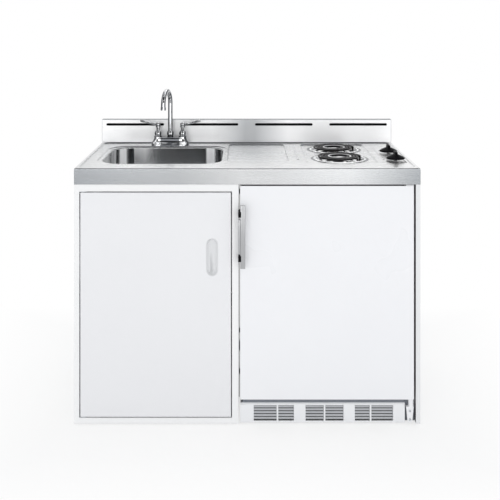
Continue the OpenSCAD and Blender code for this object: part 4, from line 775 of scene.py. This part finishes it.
class KITCHENETTE_OT_stage(bpy.types.Operator):
    """Makes the floor, the soft lamps, the white surroundings and the camera"""

    bl_idname = "kitchenette.stage"
    bl_label = "Stage"

    def execute(self, context):
        sizes = context.scene.kitchenette_stage
        view = bpy.data.cameras.new("Camera")
        view.lens, view.sensor_width = LENS, SENSOR
        view.shift_x, view.shift_y = SHIFT_X, SHIFT_Y
        camera = bpy.data.objects.new("Camera", view)
        camera.location = (CAMERA_X, FRONT_Y - sizes.eye_distance, sizes.eye_height)
        camera.rotation_euler = (math.radians(90), 0, 0)
        context.scene.collection.objects.link(camera)
        context.scene.camera = camera
        self.floor()
        self.cards()
        self.world(context, sizes.sky)
        for name, place, target, size, power in (
                ("Lamp_left", (-1.35, -3.9, 1.2), (-0.3, 0, 0.8), 2.0, sizes.front_power),
                ("Lamp_right", (1.45, -3.9, 1.2), (0.3, 0, 0.8), 2.0, sizes.front_power),
                ("Lamp_above", (0.0, 0.9, 3.3), (0, 0, 0.8), 2.4, sizes.top_power)):
            self.lamp(name, Vector(place), Vector(target), size, power)
        context.scene.view_settings.view_transform = "Standard"
        return {"FINISHED"}

    def floor(self):
        """A pale floor that shines white to the camera and, less, to polished metal."""
        floor = begin("grid", x_subdivisions=8, y_subdivisions=8, size=30, location=(0, 0, 0))
        floor.name = "Floor"
        f = Finish("floor_pale")
        patch = f.noise(1.5, 2.0, 0.5)
        f.set(Base_Color=f.blend(patch, (0.93, 0.93, 0.93), (0.95, 0.95, 0.95)), Roughness=0.9)
        glow = f.add("ShaderNodeEmission", sockets={"Color": (1, 1, 1), "Strength": 1.0})
        away = (f.axis("X").size() * 0.75).most(f.axis("Y").size())
        plain = f.band(away, 0.5, 0.9, 0.72, 1.0)
        f.mix_in(f.ray("Camera") * plain + f.ray("Glossy") * 0.6, glow, "Material Output")
        floor.data.materials.append(f.material)
        settle(floor)

    def cards(self):
        """Grey cards behind the camera, overhead and at both sides, seen only in polished metal."""
        dark, light = Finish("card_grey"), Finish("card_mid_grey")
        for f, low, high in ((dark, (0.02, 0.02, 0.022), (0.05, 0.05, 0.055)),
                             (light, (0.36, 0.36, 0.37), (0.46, 0.46, 0.47))):
            f.set(Base_Color=f.blend(f.noise(2.0, 2.0, 0.5), low, high), Roughness=0.9)
        for name, f, low, high in (
                ("overhead", light, (-2.6, -0.7, 4.3), (2.6, 2.6, 4.3)),
                ("middle", dark, (-0.13, -3.7, 0.34), (0.23, -3.7, 1.5)),
                ("low_left", dark, (-3.2, -3.8, 0.0), (-0.3, -3.8, 0.26)),
                ("low_right", dark, (1.0, -3.8, 0.0), (3.2, -3.8, 0.26)),
                ("high", dark, (-3.4, -4.4, 2.7), (3.4, -4.4, 4.0)),
                ("ceiling", dark, (-2.6, -3.4, 3.7), (2.6, -0.9, 3.7)),
                ("left", light, (-3.0, -3.1, 0.1), (-3.0, 0.5, 2.6)),
                ("right", light, (3.0, -3.1, 0.1), (3.0, 0.5, 2.6))):
            low, high = Vector(low), Vector(high)
            card = begin("cube", size=1, location=(low + high) / 2)
            card.name = f"Card_{name}"
            card.scale = [max(side, 0.01) for side in high - low]
            settle(card)
            card.data.materials.append(f.material)
            card.visible_camera = card.visible_diffuse = card.visible_shadow = False

    def world(self, context, sky):
        """Room light that looks plain white to the camera, in metal and through clear plastic."""
        room = Finish("Room", "worlds", "Background")
        context.scene.world = room.material
        room.set(Color=(0.97, 0.985, 1.0), Strength=sky)
        white = room.add("ShaderNodeBackground", sockets={"Color": (1, 1, 1), "Strength": 1.0})
        seen = room.ray("Camera").most(room.ray("Glossy")).most(room.ray("Transmission"))
        room.mix_in(seen, white, "World Output")

    def lamp(self, name, place, target, size, power):
        light = bpy.data.lights.new(name, "AREA")
        light.shape, light.size, light.energy = "SQUARE", size, power
        lamp = bpy.data.objects.new(name, light)
        lamp.location = place
        lamp.rotation_euler = (target - place).to_track_quat("-Z", "Y").to_euler()
        bpy.context.scene.collection.objects.link(lamp)


class KITCHENETTE_OT_hidden(bpy.types.Operator):
    """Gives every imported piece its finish; the makers below replace some by finished pieces"""

    bl_idname = "kitchenette.hidden"
    bl_label = "Inner pieces"

    def execute(self, context):
        for node in frame["nodes"]:
            dress_node(node)
        return {"FINISHED"}


class KITCHENETTE_OT_worktop(bpy.types.Operator):
    """Makes the pressed worktop and the folded splash"""

    bl_idname = "kitchenette.worktop"
    bl_label = "Worktop and splash"

    def execute(self, context):
        edge = context.scene.kitchenette_sizes.worktop_edge
        for node in ("worktop", "backsplash"):
            dress_skin(node, edge)
        return {"FINISHED"}


class KITCHENETTE_OT_sink(bpy.types.Operator):
    """Makes the sink bowl, its waste and its strainer basket"""

    bl_idname = "kitchenette.sink"
    bl_label = "Sink"

    def execute(self, context):
        for node in ("sink_bowl", "sink_waste", "strainer_basket"):
            dress_skin(node)
        return {"FINISHED"}


class KITCHENETTE_OT_faucet(bpy.types.Operator):
    """Makes the faucet: body with its two bells, spout with aerator, and the two levers"""

    bl_idname = "kitchenette.faucet"
    bl_label = "Faucet"

    def execute(self, context):
        low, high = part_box("faucet_body")
        plate = bright_chrome("body_chrome", ((low.x + high.x) / 2, RIM_Z))
        dress_skin("faucet_body", finish=plate)
        for node in ("spout", "aerator", "hot_lever", "cold_lever"):
            dress_skin(node)
        return {"FINISHED"}


class KITCHENETTE_OT_burners(bpy.types.Operator):
    """Makes the two coils, their supports and the bright drip bowls"""

    bl_idname = "kitchenette.burners"
    bl_label = "Burners"

    def execute(self, context):
        for node in ("coil_front", "coil_rear"):
            dress_skin(node)
        for node in ("drip_bowls", "coil_support_front", "coil_support_rear"):
            dress_skin(node, finish=finish_of("drip_chrome"))
        return {"FINISHED"}


class KITCHENETTE_OT_cabinet(bpy.types.Operator):
    """Makes the cabinet's face frame, its door with the recessed pull, and the end panel"""

    bl_idname = "kitchenette.cabinet"
    bl_label = "Sink cabinet"

    def execute(self, context):
        edge = context.scene.kitchenette_sizes.sheet_edge
        for node in ("face_frame", "cabinet_door"):
            dress_skin(node, edge)
        dress_skin("door_pull")
        # The end panel gets a darker copy of the cabinet white, as painted shade.
        colour = tuple(context.scene.kitchenette_colours.end_panel)
        dress_skin("end_panel", edge, finish=white_enamel("end_white", colour))
        return {"FINISHED"}


class KITCHENETTE_OT_refrigerator(bpy.types.Operator):
    """Makes the refrigerator's door, its lower hinge bracket and its compressor"""

    bl_idname = "kitchenette.refrigerator"
    bl_label = "Refrigerator"

    def execute(self, context):
        edge = context.scene.kitchenette_sizes.sheet_edge
        for node in ("fridge_door", "fridge_hinges"):
            dress_skin(node, edge)
        dress_skin("compressor")
        return {"FINISHED"}


class KITCHENETTE_OT_slot_baffles(bpy.types.Operator):
    """Makes the black channel behind each vent slot of the splash, a dark sheet that stands in for the
    shade inside the slots
    """

    bl_idname = "kitchenette.slot_baffles"
    bl_label = "Slot baffles"

    def execute(self, context):
        channel = block((-603, 298.5, 966), (-333, 314, 985))
        edit(channel)
        pick(channel, lambda face: face.normal.y < -0.9)
        bpy.ops.mesh.inset(thickness=0.0015)
        bpy.ops.mesh.extrude_region()
        bpy.ops.transform.translate(value=(0, 0.0135, 0))
        bpy.ops.object.mode_set(mode="OBJECT")
        rounded(channel, 0.0006, 2)
        rest = [copy_of(channel, (step * 312, 0, 0)) for step in (1, 2, 3)]
        baffles = together("slot_baffles", channel, *rest)
        dress(close_up(baffles), "slot_baffles", "mount_black", BODY_OF["backsplash"])
        return {"FINISHED"}


class KITCHENETTE_OT_knobs(bpy.types.Operator):
    """Makes the two control knobs: a dished skirt with a narrow grip across it"""

    bl_idname = "kitchenette.knobs"
    bl_label = "Knobs"

    def execute(self, context):
        sizes = context.scene.kitchenette_sizes
        wide, long = sizes.grip_width / MM / 2, sizes.grip_length / MM / 2
        for node in ("knob_front", "knob_rear"):
            low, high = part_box(node)
            place = Vector(((low.x + high.x) / 2, (low.y + high.y) / 2, low.z))
            radius, tall = (high.x - low.x) / 2, high.z - low.z
            skirt = turned([(radius * 0.55, 0.0012), (radius - 0.0012, 0.0),
                            (radius, 0.0009), (radius, 0.0036), (radius - 0.0012, 0.0052),
                            (radius * 0.82, 0.0082), (radius * 0.6, 0.0118),
                            (radius * 0.42, 0.0148), (radius * 0.34, 0.0156)], place, steps=96)
            grip = block((-wide, -long, 5), (wide, long, tall / MM))
            edit(grip)
            pick(grip, lambda face: face.normal.z > 0.9)
            bpy.ops.transform.resize(value=(0.78, 0.72, 1), center_override=(0, 0, tall))
            bpy.ops.object.mode_set(mode="OBJECT")
            rounded(grip, 0.0022, 4)
            grip.location = place
            settle(grip)
            knob = together(f"{node}_finished", skirt, grip)
            dress(close_up(knob, 28), f"{node}_finished", SLOT_OF[node], BODY_OF[node], node)
        return {"FINISHED"}


class KITCHENETTE_OT_handle(bpy.types.Operator):
    """Makes the refrigerator handle: a satin bar with its inner grip, held by two black mounts"""

    bl_idname = "kitchenette.handle"
    bl_label = "Handle"

    def execute(self, context):
        sizes = context.scene.kitchenette_sizes
        low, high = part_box("fridge_handle")
        x1, y0, y1 = high.x / MM, low.y / MM, high.y / MM
        z0, z1 = low.z / MM + 5, high.z / MM + 5
        bar = block((-24.6, y0, z0), (x1, y1, z1))
        edit(bar, "EDGE")
        pick(bar, lambda edge: abs(edge.verts[0].co.z - edge.verts[1].co.z) > 0.1
             and edge.verts[0].co.y < -0.315, "edges")
        bpy.ops.mesh.bevel(offset=sizes.handle_edge, segments=4, affect="EDGES")
        bpy.ops.object.mode_set(mode="OBJECT")
        rounded(bar, 0.0007, 2)
        grip = block((-31.5, y0 + 1.4, z0 + 49), (-24.2, y1 - 0.6, z1 - 49))
        rounded(grip, 0.0016, 3)
        handle = together("fridge_handle_finished", bar, grip)
        dress(close_up(handle), "fridge_handle_finished", SLOT_OF["fridge_handle"],
              BODY_OF["fridge_handle"], "fridge_handle")
        mounts, half = [], sizes.mount_height / MM / 2
        for z in (z0 + 34, z1 - 32):
            mount = block((-31.6, y0 - 1.2, z - half), (-21.4, -287.5, z + half))
            inset_front(mount, 0.0014, -0.0006)
            pick(mount, lambda face: face.normal.y > 0.9)
            bpy.ops.mesh.extrude_region()
            bpy.ops.transform.resize(value=(0.698, 1, 0.9), center_override=(-0.023, 0, z * MM))
            bpy.ops.mesh.extrude_region()
            bpy.ops.transform.translate(value=(0, 0.015, 0))
            bpy.ops.object.mode_set(mode="OBJECT")
            mounts.append(rounded(mount, 0.0006, 2))
        both = together("handle_mounts_finished", *mounts)
        dress(close_up(both), "handle_mounts_finished", SLOT_OF["handle_mounts"],
              BODY_OF["handle_mounts"], "handle_mounts")
        return {"FINISHED"}


class KITCHENETTE_OT_grille(bpy.types.Operator):
    """Makes the kick grille: a rounded front with three vents of tilted louvres in a grey that is
    painted shade, and a black backing that stands in for the shade behind the vents
    """

    bl_idname = "kitchenette.grille"
    bl_label = "Kick grille"

    def execute(self, context):
        sizes = context.scene.kitchenette_sizes
        low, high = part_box("kick_grille")
        x0, x1, z0, z1 = low.x / MM, high.x / MM, low.z / MM, high.z / MM - 5
        y0, length = low.y / MM, high.x / MM - low.x / MM
        vents = []
        for start, split, end in VENTS:
            vents += [(x0 + start * length, x0 + split * length - 3),
                      (x0 + split * length + 3, x0 + end * length)]
        bottom, top, lowest_blade, rise = z0 + 5.6, z0 + 64.0, z0 + 14.7, 40
        front = begin("plane", size=1, location=Vector(((x0 + x1) / 2, y0, (z0 + z1) / 2)) * MM,
                      rotation=(math.radians(90), 0, 0))
        front.scale = (length * MM, (z1 - z0) * MM, 1)
        settle(front)
        for x in sorted(x for vent in vents for x in vent):
            cut(front, (x, y0, z0), X)
        for z in (bottom, top):
            cut(front, (x0, y0, z), Z)
        edit(front)
        pick(front, lambda face: bottom * MM < face.calc_center_median().z < top * MM and any(
            a * MM < face.calc_center_median().x < b * MM for a, b in vents))
        bpy.ops.mesh.delete(type="FACE")
        bpy.ops.mesh.select_all(action="SELECT")
        bpy.ops.mesh.select_mode(type="EDGE")
        bpy.ops.mesh.region_to_loop()
        bpy.ops.mesh.extrude_region()
        bpy.ops.transform.translate(value=(0, 0.012, 0))
        bpy.ops.object.mode_set(mode="OBJECT")
        close_up(front)
        edit(front, "EDGE")
        pick(front, lambda edge: all(corner.co.z > (z1 - 0.1) * MM and corner.co.y < (y0 + 1) * MM
                                     for corner in edge.verts), "edges")
        bpy.ops.mesh.bevel(offset=0.006, segments=5, affect="EDGES")
        bpy.ops.object.mode_set(mode="OBJECT")
        modify(front, "SOLIDIFY", thickness=0.0018, offset=-1.0)
        rounded(front, 0.0008, 2)
        dress(close_up(front), "kick_grille_finished", "grille_white", BODY_OF["kick_grille"],
              "kick_grille")
        blades = []
        for a, b in vents:
            for row in range(sizes.louvres):
                z = lowest_blade + rise / (sizes.louvres - 1) * row
                blade = block((a - 0.5, -3.4, -0.7), (b + 0.5, 3.4, 0.7))
                rounded(blade, 0.0005, 2)
                blade.rotation_euler = (sizes.louvre_tilt, 0, 0)
                blade.location = Vector((0, y0 + 3.6, z)) * MM
                blades.append(settle(blade))
        # Louvres in a darker copy of the grille plastic: painted shade.
        louvres = together("grille_louvres", *blades)
        dress(close_up(louvres), "grille_louvres", "grille_white", BODY_OF["kick_grille"],
              finish=moulded("louvre_grey", tuple(context.scene.kitchenette_colours.louvre), 0.45))
        # The black backing stands in for the shade behind the vents.
        backing = block((x0 + 6, y0 + 12.5, z0 + 3), (x1 - 6, y0 + 14.5, z1 - 3))
        inset_front(backing, 0.002, 0.0006)
        bpy.ops.object.mode_set(mode="OBJECT")
        dress(close_up(backing), "grille_backing", "catch", BODY_OF["kick_grille"])
        return {"FINISHED"}


class KITCHENETTE_OT_gap_strips(bpy.types.Operator):
    """Makes the dark strips set back in the gaps above, below and left of the refrigerator door; they
    stand in for the shade in those gaps
    """

    bl_idname = "kitchenette.gap_strips"
    bl_label = "Gap strips"

    def execute(self, context):
        # Painted shade: black strips in the gaps above and left of the door.
        top = block((-22, -284.5, 838.9), (555, -262, 843.9))
        edit(top, "VERT")
        pick(top, lambda corner: corner.co.z < 0.84, "verts")
        bpy.ops.transform.resize(value=(0.978, 1, 1), center_override=(0.2665, 0, 0.84))
        bpy.ops.object.mode_set(mode="OBJECT")
        side = block((-29.9, -270, 90), (-27.3, -262, 838))
        rounded(side, 0.0006, 2)
        strips = together("gap_strips", rounded(top, 0.0006, 2), side)
        dress(close_up(strips), "gap_strips", "catch", "unit")
        # Painted shade: a dark grey channel that stands in for the shadow between door and grille.
        kick = block((-24, -276, 68), (552, -262, 88.2))
        edit(kick, "VERT")
        pick(kick, lambda corner: corner.co.z > 0.08 and corner.co.x < 0, "verts")
        bpy.ops.transform.translate(value=(0.014, 0, 0))
        bpy.ops.object.mode_set(mode="OBJECT")
        end = block((552, -270, 8), (590, -264, 86))
        inset_front(end, 0.003, 0.001)
        bpy.ops.object.mode_set(mode="OBJECT")
        kick = together("kick_channel", rounded(kick, 0.0008, 2), end)
        dress(close_up(kick), "kick_channel", "catch", "unit",
              finish=moulded("channel_grey", tuple(context.scene.kitchenette_colours.channel), 0.6,
                             gloss=1.2))
        return {"FINISHED"}


class KITCHENETTE_OT_screws(bpy.types.Operator):
    """Makes the pan-head screws of the lower hinge bracket and of the back"""

    bl_idname = "kitchenette.screws"
    bl_label = "Screws"

    def execute(self, context):
        head = turned([(0.0001, 0.0), (0.0042, 0.0), (0.0042, 0.0008), (0.0036, 0.0018),
                       (0.0024, 0.0025), (0.0012, 0.0027)], steps=32)
        edit(head)
        pick(head, lambda face: face.normal.z > 0.95 and face.calc_center_median().z > 0.0024)
        bpy.ops.mesh.inset(thickness=0.0003)
        bpy.ops.mesh.extrude_region()
        bpy.ops.transform.translate(value=(0, 0, -0.0014))
        bpy.ops.object.mode_set(mode="OBJECT")
        close_up(head)
        for name, body, along, places in (
                ("hinge_screws", "unit", -Y, ((571.5, -284.5, 18), (571.5, -284.5, 48))),
                ("back_screws", "unit", Y, [(x, 320.5, z) for x in (-590, -319, -48)
                                            for z in (40, 800)])):
            heads = []
            for place in places:
                screw = copy_of(head)
                screw.matrix_world = Matrix.Translation(Vector(place) * MM) @ \
                    along.to_track_quat("Z", "X").to_matrix().to_4x4()
                heads.append(settle(screw))
            dress(together(name, *heads), name, "zinc", body)
        bpy.data.objects.remove(head)
        return {"FINISHED"}


MAKERS = (KITCHENETTE_OT_stage, KITCHENETTE_OT_hidden, KITCHENETTE_OT_worktop,
          KITCHENETTE_OT_slot_baffles, KITCHENETTE_OT_sink, KITCHENETTE_OT_faucet,
          KITCHENETTE_OT_burners, KITCHENETTE_OT_knobs, KITCHENETTE_OT_cabinet,
          KITCHENETTE_OT_refrigerator, KITCHENETTE_OT_handle, KITCHENETTE_OT_grille,
          KITCHENETTE_OT_gap_strips, KITCHENETTE_OT_screws)


class KITCHENETTE_PT_panel(bpy.types.Panel):
    """Lists the makers of the kitchenette's pieces in the sidebar"""

    bl_label = "Kitchenette"
    bl_idname = "KITCHENETTE_PT_panel"
    bl_space_type = "VIEW_3D"
    bl_region_type = "UI"
    bl_category = "Kitchenette"

    def draw(self, context):
        for maker in MAKERS:
            self.layout.operator(maker.bl_idname)


GROUPS = {"kitchenette_stage": StageSizes, "kitchenette_sizes": PieceSizes,
          "kitchenette_colours": PieceColours}


def register():
    for name, group in GROUPS.items():
        bpy.utils.register_class(group)
        setattr(bpy.types.Scene, name, bpy.props.PointerProperty(type=group))
    for cls in (*MAKERS, KITCHENETTE_PT_panel):
        bpy.utils.register_class(cls)


def unregister():
    for cls in reversed((*MAKERS, KITCHENETTE_PT_panel)):
        bpy.utils.unregister_class(cls)
    for name, group in reversed(GROUPS.items()):
        delattr(bpy.types.Scene, name)
        bpy.utils.unregister_class(group)


def main():
    """Registers the add-on and makes every piece in order."""
    register()
    for maker in MAKERS:
        family, verb = maker.bl_idname.split(".")
        getattr(getattr(bpy.ops, family), verb)()


if __name__ == "__main__":
    main()
